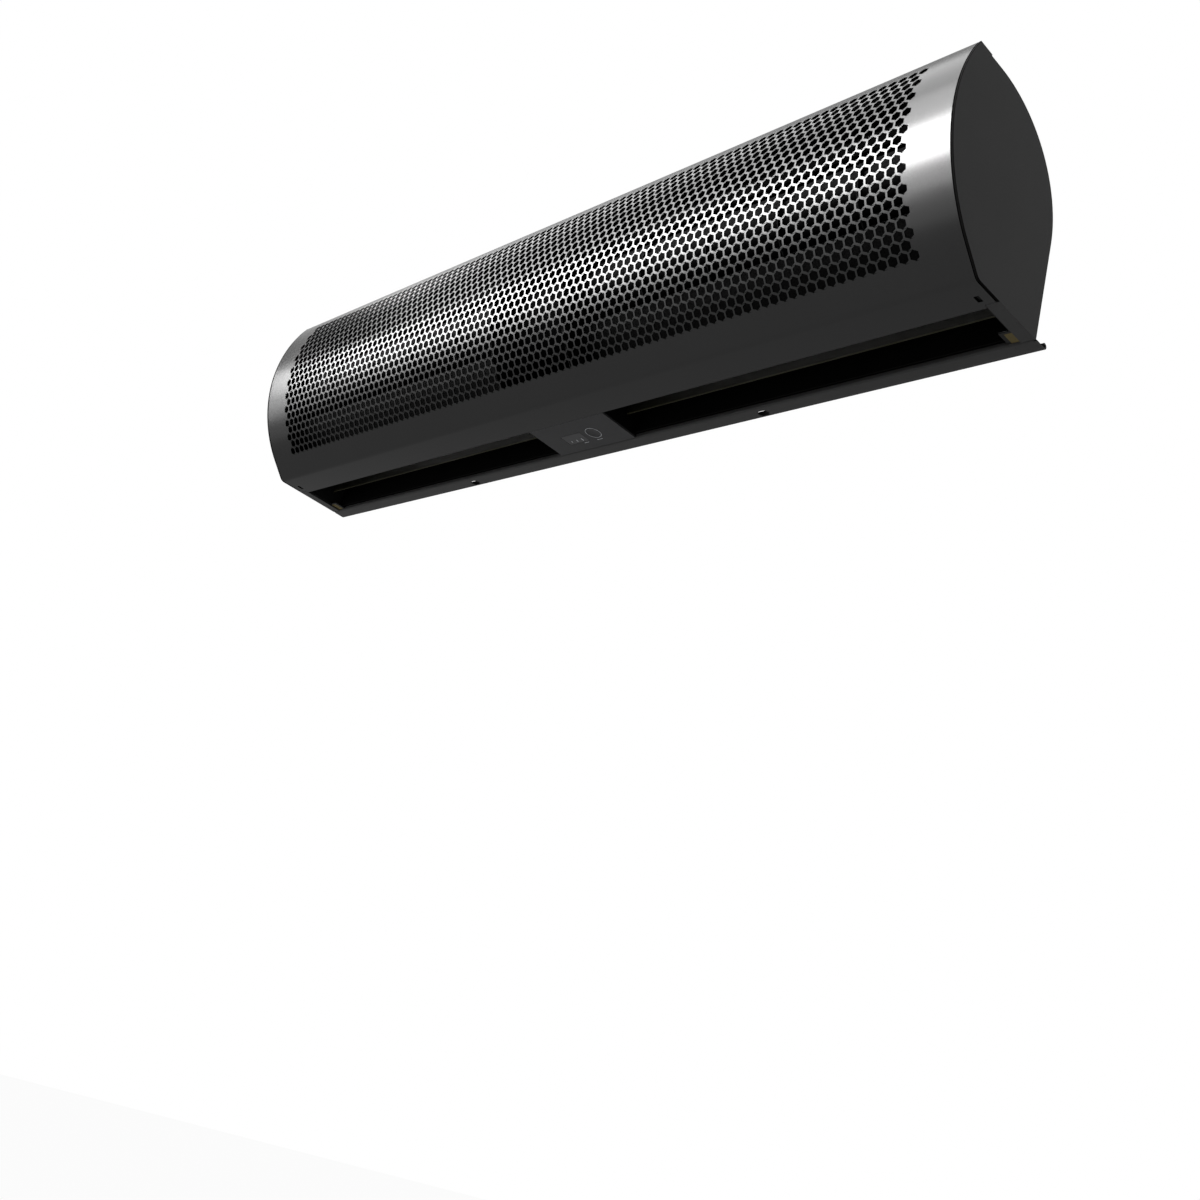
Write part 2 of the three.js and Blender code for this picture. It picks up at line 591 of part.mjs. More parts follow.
// A long blade on two end pins, thinner towards both edges.
function guideVane(side) {
  const { y, pivotZ, below, above, thickness } = VANE;
  const half = thickness / 2;
  const shoulder = Math.min(below, above) / 2;
  const outline = [
    [y, pivotZ - below],
    [y + half, pivotZ - below + shoulder],
    [y + half, pivotZ + above - shoulder],
    [y, pivotZ + above],
    [y - half, pivotZ + above - shoulder],
    [y - half, pivotZ - below + shoulder],
  ];
  const blade = slab(outline, side * VANE_START, side * VANE_END);
  const pivot = [y, pivotZ];
  const innerPin = rodX(pivot, VANE_PIN_RADIUS,
    side * PARTITION_INNER, side * (VANE_START + VANE_PIN_ROOT), SMALL_ROUND);
  const outerPin = rodX(pivot, VANE_PIN_RADIUS,
    side * (VANE_END - VANE_PIN_ROOT), side * SIDE_OUTER, SMALL_ROUND);
  return join(blade, innerPin, outerPin);
}

// ---- Rotor --------------------------------------------------------------------------------------

// Slanted blades between two end discs and a middle ring, with a hub inside and a stub outside.
function impeller(side) {
  const start = IMPELLER_START;
  const end = IMPELLER_END;
  const middle = (start + end) / 2;
  const innerRadius = IMPELLER_RADIUS - BLADE.depth - DISC_SHEET;
  const hubDisc = rodX(AXIS, IMPELLER_RADIUS, side * start, side * (start + DISC_SHEET));
  const endDisc = rodX(AXIS, IMPELLER_RADIUS, side * (end - DISC_SHEET), side * end);
  const ring = tubeX(AXIS, IMPELLER_RADIUS, innerRadius,
    side * (middle - DISC_SHEET / 2), side * (middle + DISC_SHEET / 2));
  const hub = rodX(AXIS, HUB.radius, side * (start + DISC_SHEET / 2), side * (start + HUB.length));
  const stub = rodX(AXIS, STUB_RADIUS, side * (end - DISC_SHEET / 2), side * (end + STUB_LENGTH));
  const reach = side * (start + SHAFT_IN_HUB + FIT);
  const bore = rodX(AXIS, BORE, side * (start - OVERCUT), reach);
  return cut(join(hubDisc, endDisc, ring, hub, stub, ...blades(side)), bore);
}

function blades(side) {
  const start = IMPELLER_START + DISC_SHEET / 2;
  const end = IMPELLER_END - DISC_SHEET / 2;
  const midRadius = IMPELLER_RADIUS - BLADE.sheet - BLADE.depth / 2;
  const outline = rectangle(-BLADE.depth / 2, BLADE.depth / 2, -BLADE.sheet / 2, BLADE.sheet / 2);
  return Array.from({ length: BLADE_COUNT }, (_, i) => {
    const blade = slab(outline, side * start, side * end);
    blade.rotateX(rad(BLADE.tilt)).translate(0, midRadius, 0);
    return blade.rotateX(rad(360 * i / BLADE_COUNT)).translate(0, ...AXIS);
  });
}

function motorShaft() {
  const reach = IMPELLER_START + SHAFT_IN_HUB;
  return rodX(AXIS, SHAFT_RADIUS, -reach, reach);
}

// ---- Bearings -----------------------------------------------------------------------------------

function bearing(side) {
  const { radius, length } = BEARING;
  return tubeX(AXIS, radius, STUB_RADIUS + FIT, side * BEARING_START, side * (BEARING_START + length));
}

// The rubber seat round the bearing, with a groove that the side plate's hole sits in.
function bearingSeat(side) {
  const { radius, flangeRadius, flange } = BEARING_SEAT;
  const bore = BEARING.radius + FIT;
  const grooveStart = SIDE_INNER - FIT;
  const grooveEnd = SIDE_OUTER + FIT;
  const profile = [
    [grooveStart - flange, bore],
    [grooveEnd + flange, bore],
    [grooveEnd + flange, flangeRadius],
    [grooveEnd, flangeRadius],
    [grooveEnd, radius],
    [grooveStart, radius],
    [grooveStart, flangeRadius],
    [grooveStart - flange, flangeRadius],
  ];
  return turnedX(onSide(profile, side), AXIS);
}

// A profile drawn for the right side, mirrored for the left one.
function onSide(profile, side) {
  return profile.map(([x, radius]) => [side * x, radius]);
}

// ---- Motor --------------------------------------------------------------------------------------

function motorBell(side) {
  const { radius, half, wall, endWall, bossRadius, bossLength } = MOTOR;
  const profile = [
    [FIT / 2, radius - wall],
    [half - endWall, radius - wall],
    [half - endWall, BORE],
    [half + bossLength, BORE],
    [half + bossLength, bossRadius],
    [half, bossRadius],
    [half, radius],
    [FIT / 2, radius],
  ];
  return turnedX(onSide(profile, side), AXIS);
}

function statorCore() {
  const outer = MOTOR.radius - MOTOR.wall - FIT;
  return tubeX(AXIS, outer, CORE.rotorRadius + CORE.airGap, -CORE.half, CORE.half);
}

function rotorCore() {
  return tubeX(AXIS, CORE.rotorRadius, BORE, -CORE.half, CORE.half);
}

function motorRing(side) {
  const centre = CRADLE.earX + CRADLE.sheet / 2;
  const half = MOTOR_RING.length / 2;
  const inner = MOTOR.bossRadius + FIT;
  return tubeX(AXIS, RING_RADIUS, inner, side * (centre - half), side * (centre + half));
}

// A base on the rear wall and two ears whose half-round seats hold the motor's rubber rings.
function motorCradle() {
  const { sheet, earX, low, reachLow, reachHigh } = CRADLE;
  const baseRear = -BULKHEAD_INSET;
  const ear = [
    [baseRear, low],
    [AXIS[0], AXIS[1] - reachLow],
    [AXIS[0], AXIS[1] + reachHigh],
    [AXIS[0] / 2, AXIS[1] + reachHigh],
    [baseRear, REAR_WALL_HEIGHT],
  ];
  const base = box(-earX - sheet / 2, earX + sheet / 2, baseRear - sheet, baseRear, low, REAR_WALL_HEIGHT);
  const ears = bothSides.map((side) => slab(ear, side * earX, side * (earX + sheet)));
  const seat = rodX(AXIS, SADDLE_RADIUS, -BIG, BIG);
  const holes = motorScrewPlaces().map(([x, z]) => rodY(x, z, SCREW_HOLE, -sheet * 3, 0));
  return cut(cut(join(base, ...ears), seat), ...holes);
}

// The half-round strap that closes each seat from the front.
function motorStrap(side) {
  const front = AXIS[0] - FIT;
  const inner = SADDLE_RADIUS;
  const outer = SADDLE_RADIUS + STRAP_WALL;
  const startAngle = 90 + degrees(Math.asin(FIT / inner));
  const outline = [
    ...arc(AXIS, inner, 360 - startAngle, startAngle, 12),
    [front, AXIS[1] + CRADLE.reachHigh],
    [front - STRAP_WALL, AXIS[1] + CRADLE.reachHigh],
    ...arc(AXIS, outer, 180 - STRAP_BOW, 180 + STRAP_BOW, 12),
    [front - STRAP_WALL, AXIS[1] - CRADLE.reachLow],
    [front, AXIS[1] - CRADLE.reachLow],
  ];
  return slab(outline, side * CRADLE.earX, side * (CRADLE.earX + CRADLE.sheet));
}

// ---- Control panel and electrics ----------------------------------------------------------------

function boardPosts(z0, z1, radius) {
  const xs = bothSides.map((side) => side * (BOARD.halfX - BOARD_POST.inset));
  const ys = [BOARD.front + BOARD_POST.inset, BOARD.rear - BOARD_POST.inset];
  return xs.flatMap((x) => ys.map((y) => rodZ(x, y, radius, z0, z1, SMALL_ROUND)));
}

// The flush panel under the motor compartment, with the key's hole and the window's pocket.
function controlPanel() {
  const floor = box(-CENTRE_HALF, CENTRE_HALF, OUTLET_FRONT + FIT, -BULKHEAD_INSET, 0, PANEL_SHEET);
  const posts = boardPosts(PANEL_SHEET / 2, BOARD.z - FIT, BOARD_POST.radius);
  const keyHole = rodZ(KEY.x, KEY.y, KEY.radius + FIT, -OVERCUT, PANEL_SHEET + OVERCUT);
  const halfX = WINDOW.width / 2 + FIT;
  const halfY = WINDOW.depth / 2 + FIT;
  const pocket = box(WINDOW.x - halfX, WINDOW.x + halfX, WINDOW.y - halfY, WINDOW.y + halfY,
    -OVERCUT, WINDOW.sheet + FIT);
  return cut(join(floor, ...posts), keyHole, pocket);
}

function displayWindow() {
  const halfX = WINDOW.width / 2;
  const halfY = WINDOW.depth / 2;
  return box(WINDOW.x - halfX, WINDOW.x + halfX, WINDOW.y - halfY, WINDOW.y + halfY, 0, WINDOW.sheet);
}

// A round key, flush with the panel, with a collar that rests on the panel's inside.
function powerKey() {
  const button = rodZ(KEY.x, KEY.y, KEY.radius, 0, PANEL_TOP + KEY.flangeHeight / 2);
  const collar = rodZ(KEY.x, KEY.y, KEY.radius + KEY.flange, PANEL_TOP, PANEL_TOP + KEY.flangeHeight);
  return join(button, collar);
}

// The board on the panel's posts, with the key's switch below it and its parts above.
function controlBoard() {
  const top = BOARD.z + BOARD.sheet;
  const board = box(-BOARD.halfX, BOARD.halfX, BOARD.front, BOARD.rear, BOARD.z, top);
  const switchLow = PANEL_TOP + KEY.flangeHeight + KEY_TRAVEL + FIT;
  const root = BOARD.z + BOARD.sheet / 2;
  const half = KEY_SWITCH / 2;
  const keySwitch = box(KEY.x - half, KEY.x + half, KEY.y - half, KEY.y + half, switchLow, root);
  const parts = [RELAY, { ...RELAY, x: RELAY.x + RELAY.spacing }, TRANSFORMER, CHIP];
  const blocks = parts.map(({ x, y, width, depth, height }) => (
    box(x, x + width, y, y + depth, root, top + height)));
  return join(board, keySwitch, ...blocks);
}

function componentTray() {
  const { slopeGap, rear, z, sheet, rise } = TRAY;
  const front = slopeY(z, COVER_SHEET) + slopeGap;
  const reach = PARTITION_INNER - FIT;
  const base = box(-reach, reach, front, rear, z, z + sheet);
  const walls = bothSides.map((side) => box(side * (reach - sheet), side * reach, front, rear, z, z + rise));
  return join(base, ...walls);
}

function onTray(piece) {
  const { x, y, width, depth, height } = piece;
  const z = TRAY.z + TRAY.sheet + FIT;
  return box(x - width / 2, x + width / 2, y - depth / 2, y + depth / 2, z, z + height);
}

function terminalBlock() {
  const { x, y, width, depth, height, ribs } = TERMINAL;
  const pitch = width / ribs;
  const top = TRAY.z + TRAY.sheet + FIT + height;
  const walls = Array.from({ length: ribs + 1 }, (_, i) => {
    const thickness = pitch / 5;
    const start = x - width / 2 + i * (width - thickness) / ribs;
    return box(start, start + thickness, y - depth / 2, y + depth / 2, top - height / 2, top + height / 2);
  });
  return join(onTray(TERMINAL), ...walls);
}

// The rubber bush in the rear wall that the supply cable passes through.
function cableGrommet() {
  const { x, z, bore, neck, flange, inner, outer } = GROMMET;
  const profile = [
    [-BULKHEAD_INSET - inner, bore],
    [FIT + outer, bore],
    [FIT + outer, flange],
    [FIT, flange],
    [FIT, neck],
    [-BULKHEAD_INSET, neck],
    [-BULKHEAD_INSET, flange],
    [-BULKHEAD_INSET - inner, flange],
  ];
  return turnedY(profile, [x, z]);
}

// ---- The object ---------------------------------------------------------------------------------

function piece(name, geometry, material) {
  const mesh = new THREE.Mesh(toGeometry(toManifold(geometry)), material);
  mesh.name = name;
  return mesh;
}

function pair(name, build, material) {
  return [piece(`${name}_left`, build(-1), material), piece(`${name}_right`, build(1), material)];
}

function screws(name, places, headY) {
  return places.map((place, i) => piece(`${name}_${i + 1}`, screw(place, headY), FINISH.zincSteel));
}

const casing = new THREE.Group();
casing.position.set(0, -WALL_GAP, -MOUNT_HEIGHT);
casing.add(
  piece('wall_plate', wallPlate(), FINISH.zincSteel),
  ...pair('hanger', hanger, FINISH.zincSteel),
  piece('rear_shell', rearShell(), FINISH.graphitePaint),
  piece('front_cover', frontCover(), FINISH.pearlBlack),
  ...pair('end_cap', endCap, FINISH.graphitePaint),
  ...pair('side_plate', sidePlate, FINISH.yellowZinc),
  ...pair('partition', partition, FINISH.blackPaint),
  ...pair('volute', volute, FINISH.blackPaint),
  ...pair('tongue', tongue, FINISH.blackPaint),
  ...pair('guide_vane', guideVane, FINISH.vaneOlive),
  ...pair('impeller', impeller, FINISH.aluminium),
  ...pair('bearing', bearing, FINISH.bearingSteel),
  ...pair('bearing_seat', bearingSeat, FINISH.rubber),
  piece('motor_shaft', motorShaft(), FINISH.shaftSteel),
  piece('rotor_core', rotorCore(), FINISH.coreSteel),
  piece('stator_core', statorCore(), FINISH.coreSteel),
  ...pair('motor_bell', motorBell, FINISH.motorEnamel),
  ...pair('motor_ring', motorRing, FINISH.rubber),
  piece('motor_cradle', motorCradle(), FINISH.zincSteel),
  ...pair('motor_strap', motorStrap, FINISH.zincSteel),
  piece('control_panel', controlPanel(), FINISH.blackPlastic),
  piece('display_window', displayWindow(), FINISH.smokedPlastic),
  piece('power_key', powerKey(), FINISH.blackPlastic),
  piece('control_board', controlBoard(), FINISH.boardGreen),
  piece('component_tray', componentTray(), FINISH.zincSteel),
  piece('capacitor', onTray(CAPACITOR), FINISH.capacitorCase),
  piece('terminal_block', terminalBlock(), FINISH.terminalPlastic),
  piece('cable_grommet', cableGrommet(), FINISH.rubber),
  ...screws('motor_screw', motorScrewPlaces(), 0),
  ...screws('hanger_screw', bothSides.flatMap(hangerScrewPlaces), FIT + PLATE_SHEET),
  ...screws('side_screw', bothSides.flatMap(sideScrewPlaces), 0),
);

const airCurtain = new THREE.Group();
airCurtain.add(casing);

export default airCurtain;
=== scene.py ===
"""Looks of a wall-mounted air curtain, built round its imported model.

The unit hangs on a wall by its rear face (+Y) and blows down (-Z). X runs along the casing, to
the right seen from the front. Pieces are drawn in the casing's own millimetres, as on a workshop
drawing: y 0 is the casing's rear face, z 0 is its underside, and a section point is (y, z).
"""
import logging
import math
from dataclasses import dataclass, field
from enum import Enum

import bmesh
import bpy
from bmesh import ops
from bmesh.types import BMEdge, BMesh, BMFace, BMVert
from bpy.types import Node, NodeSocket as Socket, NodeTree as Tree
from mathutils import Euler, Matrix, Vector


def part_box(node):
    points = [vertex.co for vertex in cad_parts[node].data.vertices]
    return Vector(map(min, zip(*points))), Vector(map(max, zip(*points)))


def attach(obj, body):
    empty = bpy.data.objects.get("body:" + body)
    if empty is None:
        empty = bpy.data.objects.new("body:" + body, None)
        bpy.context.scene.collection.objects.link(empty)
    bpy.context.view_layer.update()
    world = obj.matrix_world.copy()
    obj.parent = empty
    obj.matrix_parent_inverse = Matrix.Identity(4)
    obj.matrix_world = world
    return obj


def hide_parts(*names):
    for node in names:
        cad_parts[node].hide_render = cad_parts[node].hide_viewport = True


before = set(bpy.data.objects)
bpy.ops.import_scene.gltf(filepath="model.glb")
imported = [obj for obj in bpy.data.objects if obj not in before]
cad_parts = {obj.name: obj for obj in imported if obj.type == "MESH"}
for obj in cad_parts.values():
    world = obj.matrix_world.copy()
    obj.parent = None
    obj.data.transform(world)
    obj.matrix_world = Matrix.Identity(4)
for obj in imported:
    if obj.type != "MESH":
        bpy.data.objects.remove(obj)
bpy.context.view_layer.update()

MM = 0.001
SAME_PLACE, TOUCHING = 1e-3, 1e-4
SHARP = math.radians(60)
NOISE_LOW, NOISE_HIGH = 0.3, 0.7
WHITE = (1.0, 1.0, 1.0, 1.0)
ALONG, REARWARD, FORWARD, UP = (1, 0, 0), (0, 1, 0), (0, -1, 0), (0, 0, 1)
SIDES = {-1: "left", 1: "right"}
CUT_EDGE = "cut_edge"
LOG = logging.getLogger("air_curtain")

Point = tuple[float, float]
Place = tuple[float, float, float]


# ---- Finishes ----


def linear(colour: str) -> tuple[float, float, float, float]:
    """Turn an sRGB hex colour into the linear colour that a shader takes.

    Args:
        colour: six hex digits.

    Returns:
        Linear red, green and blue, and an alpha of 1.
    """
    parts = [int(colour[i:i + 2], 16) / 255 for i in (0, 2, 4)]
    red, green, blue = (c / 12.92 if c <= 0.04045 else ((c + 0.055) / 1.055) ** 2.4 for c in parts)
    return red, green, blue, 1.0


def add_node(
    tree: Tree, kind: str, settings: dict | None = None, links: dict | None = None
) -> Node:
    """Add one shader node with its settings and links.

    Args:
        tree: the material's or world's node tree.
        kind: its type name, without the ShaderNode in front.
        settings: values by property name, or by input name or number.
        links: output sockets by input name or number.

    Returns:
        The new node.
    """
    node = tree.nodes.new(f"ShaderNode{kind}")
    for key, value in (settings or {}).items():
        if isinstance(key, str) and hasattr(node, key):
            setattr(node, key, value)
        else:
            node.inputs[key].default_value = value
    for key, socket in (links or {}).items():
        tree.links.new(socket, node.inputs[key])
    return node


@dataclass(frozen=True)
class Finish:
    """A surface as its maker names it, with the shader values that it starts from.

    One layer of its pattern drives gloss and relief. Another one drives the tone, from colour to
    light, but where tone_mm is 0 the first one does. Layers are read from Object coordinates, so
    their sizes are real ones. relief is the depth in millimetres and how much of it shows.
    """

    name: str
    slot: str
    colour: str
    metallic: float = 0.0
    roughness: float = 0.5
    ior: float = 1.5
    sheen_level: float = 0.5
    light: str = "808080"
    tone_mm: float = 0.0
    tone_detail: float = 2.0
    gloss_mm: float = 0.5
    gloss_detail: float = 2.0
    gloss_range: Point | None = None
    stretch: Place | None = None
    relief: Point | None = None

    def make(self) -> bpy.types.Material:
        """Make the node material.

        Returns:
            The finished material.
        """
        material = bpy.data.materials.new(self.name)
        material.use_nodes = True
        material.diffuse_color = linear(self.colour)
        tree = material.node_tree
        shader = tree.nodes["Principled BSDF"]
        values = {"Metallic": self.metallic, "Roughness": self.roughness, "IOR": self.ior,
                  "Specular IOR Level": self.sheen_level}
        for key, value in values.items():
            shader.inputs[key].default_value = value
        where = add_node(tree, "TexCoord").outputs["Object"]
        tree.links.new(self.pattern(tree, shader, where), shader.inputs["Base Color"])
        return material

    def layer(self, tree: Tree, where: Socket, size_mm: float, detail: float) -> Socket:
        """Give one layer of the pattern: a noise whose grains have a real size."""
        settings = {"Scale": 1 / (size_mm * MM), "Detail": detail, "Roughness": 0.55}
        return add_node(tree, "TexNoise", settings, {"Vector": where}).outputs["Fac"]

    def pattern(self, tree: Tree, shader: Node, where: Socket) -> Socket:
        """Draw the gloss and relief, and the tone.

        Args:
            tree: the material's node tree.
            shader: the surface's shader.
            where: the Object coordinates.

        Returns:
            The colour.
        """
        drawn = where
        if self.stretch:
            drawn = add_node(
                tree, "Mapping", {"Scale": self.stretch}, {"Vector": where}).outputs["Vector"]
        grain = self.layer(tree, drawn, self.gloss_mm, self.gloss_detail)
        if self.gloss_range:
            low, high = (self.roughness + change for change in self.gloss_range)
            gloss = add_node(tree, "MapRange", {
                "From Min": NOISE_LOW, "From Max": NOISE_HIGH, "To Min": low, "To Max": high,
            }, {"Value": grain})
            tree.links.new(gloss.outputs["Result"], shader.inputs["Roughness"])
        if self.relief:
            depth, strength = self.relief
            settings = {"Strength": strength, "Distance": depth * MM}
            bump = add_node(tree, "Bump", settings, {"Height": grain})
            tree.links.new(bump.outputs["Normal"], shader.inputs["Normal"])
        tone = self.layer(tree, where, self.tone_mm, self.tone_detail) if self.tone_mm else grain
        ramp = add_node(tree, "ValToRGB", links={"Fac": tone})
        first, last = ramp.color_ramp.elements
        first.position, first.color = NOISE_LOW, linear(self.colour)
        last.position, last.color = NOISE_HIGH, linear(self.light)
        return ramp.outputs["Color"]


@dataclass(frozen=True)
class PowderCoat(Finish):
    """Polyester powder baked on steel: a dull, even film with a fine orange-peel grain.

    The grain of a fine-texture powder is 0.2 to 0.4 mm. It is drawn a little coarser, so that it
    shows from a step away.
    """

    tone_mm: float = 60.0
    gloss_mm: float = 0.7
    gloss_range: Point | None = (-0.05, 0.05)
    relief: Point | None = (0.02, 0.12)


@dataclass(frozen=True)
class PearlCoat(Finish):
    """Black pearl lacquer on steel: metal flakes in a dark film, which mirror light in a soft band.

    The flakes are 0.03 to 0.06 mm and are drawn at ten times that, so that they show as a fine
    sparkle on the plain strips at the cover's ends. The spray gun leaves a slow cloudiness.
    """

    tone_mm: float = 0.5
    tone_detail: float = 1.0
    gloss_mm: float = 90.0
    gloss_range: Point | None = (-0.02, 0.02)
    edge_tint: float = 0.6
    # painted shade: the cut edges, the walls of the holes, are painted this near black
    cut_edge_shade: str = "050505"

    def pattern(self, tree: Tree, shader: Node, where: Socket) -> Socket:
        """Draw the flakes, and paint the cut edges as a black painted shade, without metal."""
        flakes = super().pattern(tree, shader, where)
        shader.inputs["Specular Tint"].default_value = (*[self.edge_tint] * 3, 1)
        cut = add_node(tree, "Attribute", {"attribute_name": CUT_EDGE}).outputs["Fac"]
        metal = add_node(tree, "Math", {"operation": "SUBTRACT", 0: 1.0}, {1: cut})
        tree.links.new(metal.outputs["Value"], shader.inputs["Metallic"])
        return add_node(tree, "Mix", {"data_type": "RGBA", 7: linear(self.cut_edge_shade)},
                        {0: cut, 6: flakes}).outputs[2]


@dataclass(frozen=True)
class ZincPlate(Finish):
    """Electroplated zinc on rolled steel: a satin metal with faint rolling lines and blooms."""

    light: str = "b4b8bb"
    tone_mm: float = 9.0
    tone_detail: float = 4.0
    gloss_mm: float = 0.6
    gloss_range: Point | None = (-0.08, 0.1)
    stretch: Place | None = (0.04, 1.0, 1.0)
    relief: Point | None = (0.01, 0.2)


@dataclass(frozen=True)
class ZincUnderPaintedShade(ZincPlate):
    """Yellow zinc plate painted near black as painted shade, all but a bare foot by the outlet.

    The bare foot lies below a height, behind a line across it and outside a distance from
    the middle of the casing, all given in the frame's metres.
    """

    # painted shade: the near black put over the upright, and the limits of the bare foot
    paint: str = "040404"
    shade_above: float = -0.0655
    shade_in_front: float = -0.0265
    shade_inside: float = 0.433

    def pattern(self, tree: Tree, shader: Node, where: Socket) -> Socket:
        """Draw the plate, then cover all but the bare foot with painted shade."""
        plated = super().pattern(tree, shader, where)
        axes = add_node(tree, "SeparateXYZ", links={"Vector": where}).outputs
        beside = add_node(tree, "Math", {"operation": "ABSOLUTE"}, {0: axes["X"]})
        bare = {}
        for value, test, limit in ((axes["Z"], "LESS_THAN", self.shade_above),
                                   (axes["Y"], "GREATER_THAN", self.shade_in_front),
                                   (beside.outputs["Value"], "GREATER_THAN", self.shade_inside)):
            here = add_node(tree, "Math", {"operation": test, 1: limit}, {0: value})
            both = add_node(tree, "Math", {"operation": "MULTIPLY", 1: 1.0},
                            {0: here.outputs["Value"], **bare})
            bare = {1: both.outputs["Value"]}
        return add_node(tree, "Mix", {"data_type": "RGBA", 6: linear(self.paint)},
                        {0: bare[1], 7: plated}).outputs[2]


@dataclass(frozen=True)
class Extruded(Finish):
    """Aluminium drawn or rolled along X and anodised: fine lines that run with its length."""

    gloss_detail: float = 3.0
    gloss_range: Point | None = (-0.06, 0.08)
    stretch: Place | None = (0.01, 1.0, 1.0)
    relief: Point | None = (0.01, 0.25)


@dataclass(frozen=True)
class VaneWithPaintedHighlight(Extruded):
    """Dark anodised vane with a painted highlight, a lighter olive, on its lowest edge by the
    outlet.

    That edge is lit from below. The painted highlight ends at a height given in the frame's metres.
    """

    # painted highlight: the lighter olive of the lowest edge, and the height where it ends
    highlight_colour: str = "28271c"
    highlight_below: float = -0.0568

    def pattern(self, tree: Tree, shader: Node, where: Socket) -> Socket:
        """Draw the die lines, then the painted highlight on the lowest edge."""
        dyed = super().pattern(tree, shader, where)
        height = add_node(tree, "SeparateXYZ", links={"Vector": where}).outputs["Z"]
        edge = add_node(tree, "Math", {"operation": "LESS_THAN", 1: self.highlight_below},
                        {0: height}).outputs["Value"]
        return add_node(tree, "Mix", {"data_type": "RGBA", 7: linear(self.highlight_colour)},
                        {0: edge, 6: dyed}).outputs[2]


@dataclass(frozen=True)
class Ground(Finish):
    """Steel turned or ground round its axis: fine marks across X, where the tool passed."""

    light: str = "d0d0d2"
    gloss_mm: float = 0.35
    gloss_range: Point | None = (-0.05, 0.1)
    stretch: Place | None = (1.0, 0.02, 0.02)


@dataclass(frozen=True)
class Laminated(Finish):
    """Stacked electrical steel: 0.5 mm sheets whose edges show as lines across X."""

    light: str = "6d7074"
    relief: Point | None = (0.05, 0.5)

    def layer(self, tree: Tree, where: Socket, size_mm: float, detail: float) -> Socket:
        """Give one dark joint for each sheet."""
        settings = {"wave_type": "BANDS", "bands_direction": "X", "Distortion": 0.0,
                    "Scale": math.pi / 10 / (size_mm * MM)}
        return add_node(tree, "TexWave", settings, {"Vector": where}).outputs["Fac"]


@dataclass(frozen=True)
class Moulded(Finish):
    """Moulded plastic or rubber: the mould's fine spark-eroded grain, toned by the flow."""

    tone_mm: float = 25.0
    gloss_mm: float = 0.4
    gloss_range: Point | None = (-0.05, 0.06)
    relief: Point | None = (0.015, 0.3)


@dataclass(frozen=True)
class BoardMask(Finish):
    """Glass-epoxy board under green solder mask, through which copper shows as a paler green."""

    light: str = "2c7a49"
    gloss_mm: float = 4.0
    relief: Point | None = (0.035, 0.4)

    def layer(self, tree: Tree, where: Socket, size_mm: float, detail: float) -> Socket:
        """Give square islands of copper under the mask."""
        settings = {"distance": "CHEBYCHEV", "feature": "F1", "Scale": 1 / (size_mm * MM)}
        return add_node(tree, "TexVoronoi", settings, {"Vector": where}).outputs["Distance"]


class Finishes(Enum):
    """Every finish on the unit."""

    GRAPHITE = PowderCoat("graphite powder coat", "graphite_paint", "202020", 0.0, 0.6, 1.5, 0.12,
                          light="232323")
    PEARL = PearlCoat("black pearl lacquer", "pearl_black_paint", "292929", 1.0, 0.22, 1.5, 0.03,
                      light="2d2d2d")
    # black paint on the bulkheads, scrolls and tongues, darkened further as painted shade; also the
    # colour of the painted shadow round the end plates and of the sheet of painted shade in the
    # shell
    BLACK = PowderCoat("matt black paint and painted shade", "black_paint", "020202", 0.0, 0.9, 1.5, 0.03,
                       light="030303")
    YELLOW_ZINC = ZincUnderPaintedShade("yellow zinc plate under painted shade", "yellow_zinc", "3c341a", 0.0, 0.6, 1.5,
                             0.1, light="463d20")
    ZINC = ZincPlate("clear zinc plate", "zinc_steel", "999da0", 0.9, 0.4)
    # painted shade: the zinc-plated strap, cradle and tray are near black, so they read as shaded
    # through the holes
    SHADED_STEEL = ZincPlate("steel darkened to painted shade", "zinc_steel", "0e0e0f", 0.0, 0.7, 1.5, 0.05,
                          light="121213")
    OLIVE = VaneWithPaintedHighlight("dark anodised aluminium", "vane_olive", "0b0b06", 0.0, 0.6, 1.5, 0.06,
                      light="0e0e08")
    # painted shade: the impellers are near black, darker than aluminium, so they read as shaded
    # through the holes
    ALUMINIUM = Extruded("aluminium darkened to painted shade", "aluminium", "030304", 0.0, 0.8, 1.5, 0.03,
                         light="050506")
    RUBBER = Moulded("moulded rubber", "rubber", "141414", 0.0, 0.85, light="1a1a1a")
    BEARING = Ground("ground bearing steel", "bearing_steel", "a8a49a", 0.9, 0.3, light="bab6ac")
    SHAFT = Ground("ground shaft steel", "shaft_steel", "b8babd", 1.0, 0.25)
    CORE = Laminated("laminated core steel", "core_steel", "4a4c4f", 0.8, 0.5)
    # painted shade: the motor bells are near black, so they read as shaded through the holes
    ENAMEL = PowderCoat("motor enamel darkened to painted shade", "motor_enamel", "030304", 0.0, 0.95, 1.5, 0.01,
                        light="040405")
    PANEL = Moulded("textured ABS", "black_plastic", "1c1c1d", 0.0, 0.6, 1.5, 0.12, light="1f1f20")
    SMOKED = Moulded("smoked acrylic", "smoked_plastic", "18181a", 0.0, 0.4, 1.5, 0.12,
                     light="1b1b1d", relief=(0.002, 0.3))
    BOARD = BoardMask("green solder mask", "circuit_board", "1f5a34", 0.0, 0.35)
    CAPACITOR = Moulded("polypropylene case", "capacitor_case", "202225", 0.0, 0.45, light="26282b")
    TERMINAL = Moulded("polyamide block", "terminal_plastic", "2f2e2b", 0.0, 0.5, light="363531")
    MARKING = Moulded("pad-printed marking", "terminal_plastic", "77797c", 0.0, 0.5, light="808285")


# ---- Putting things into the scene ----


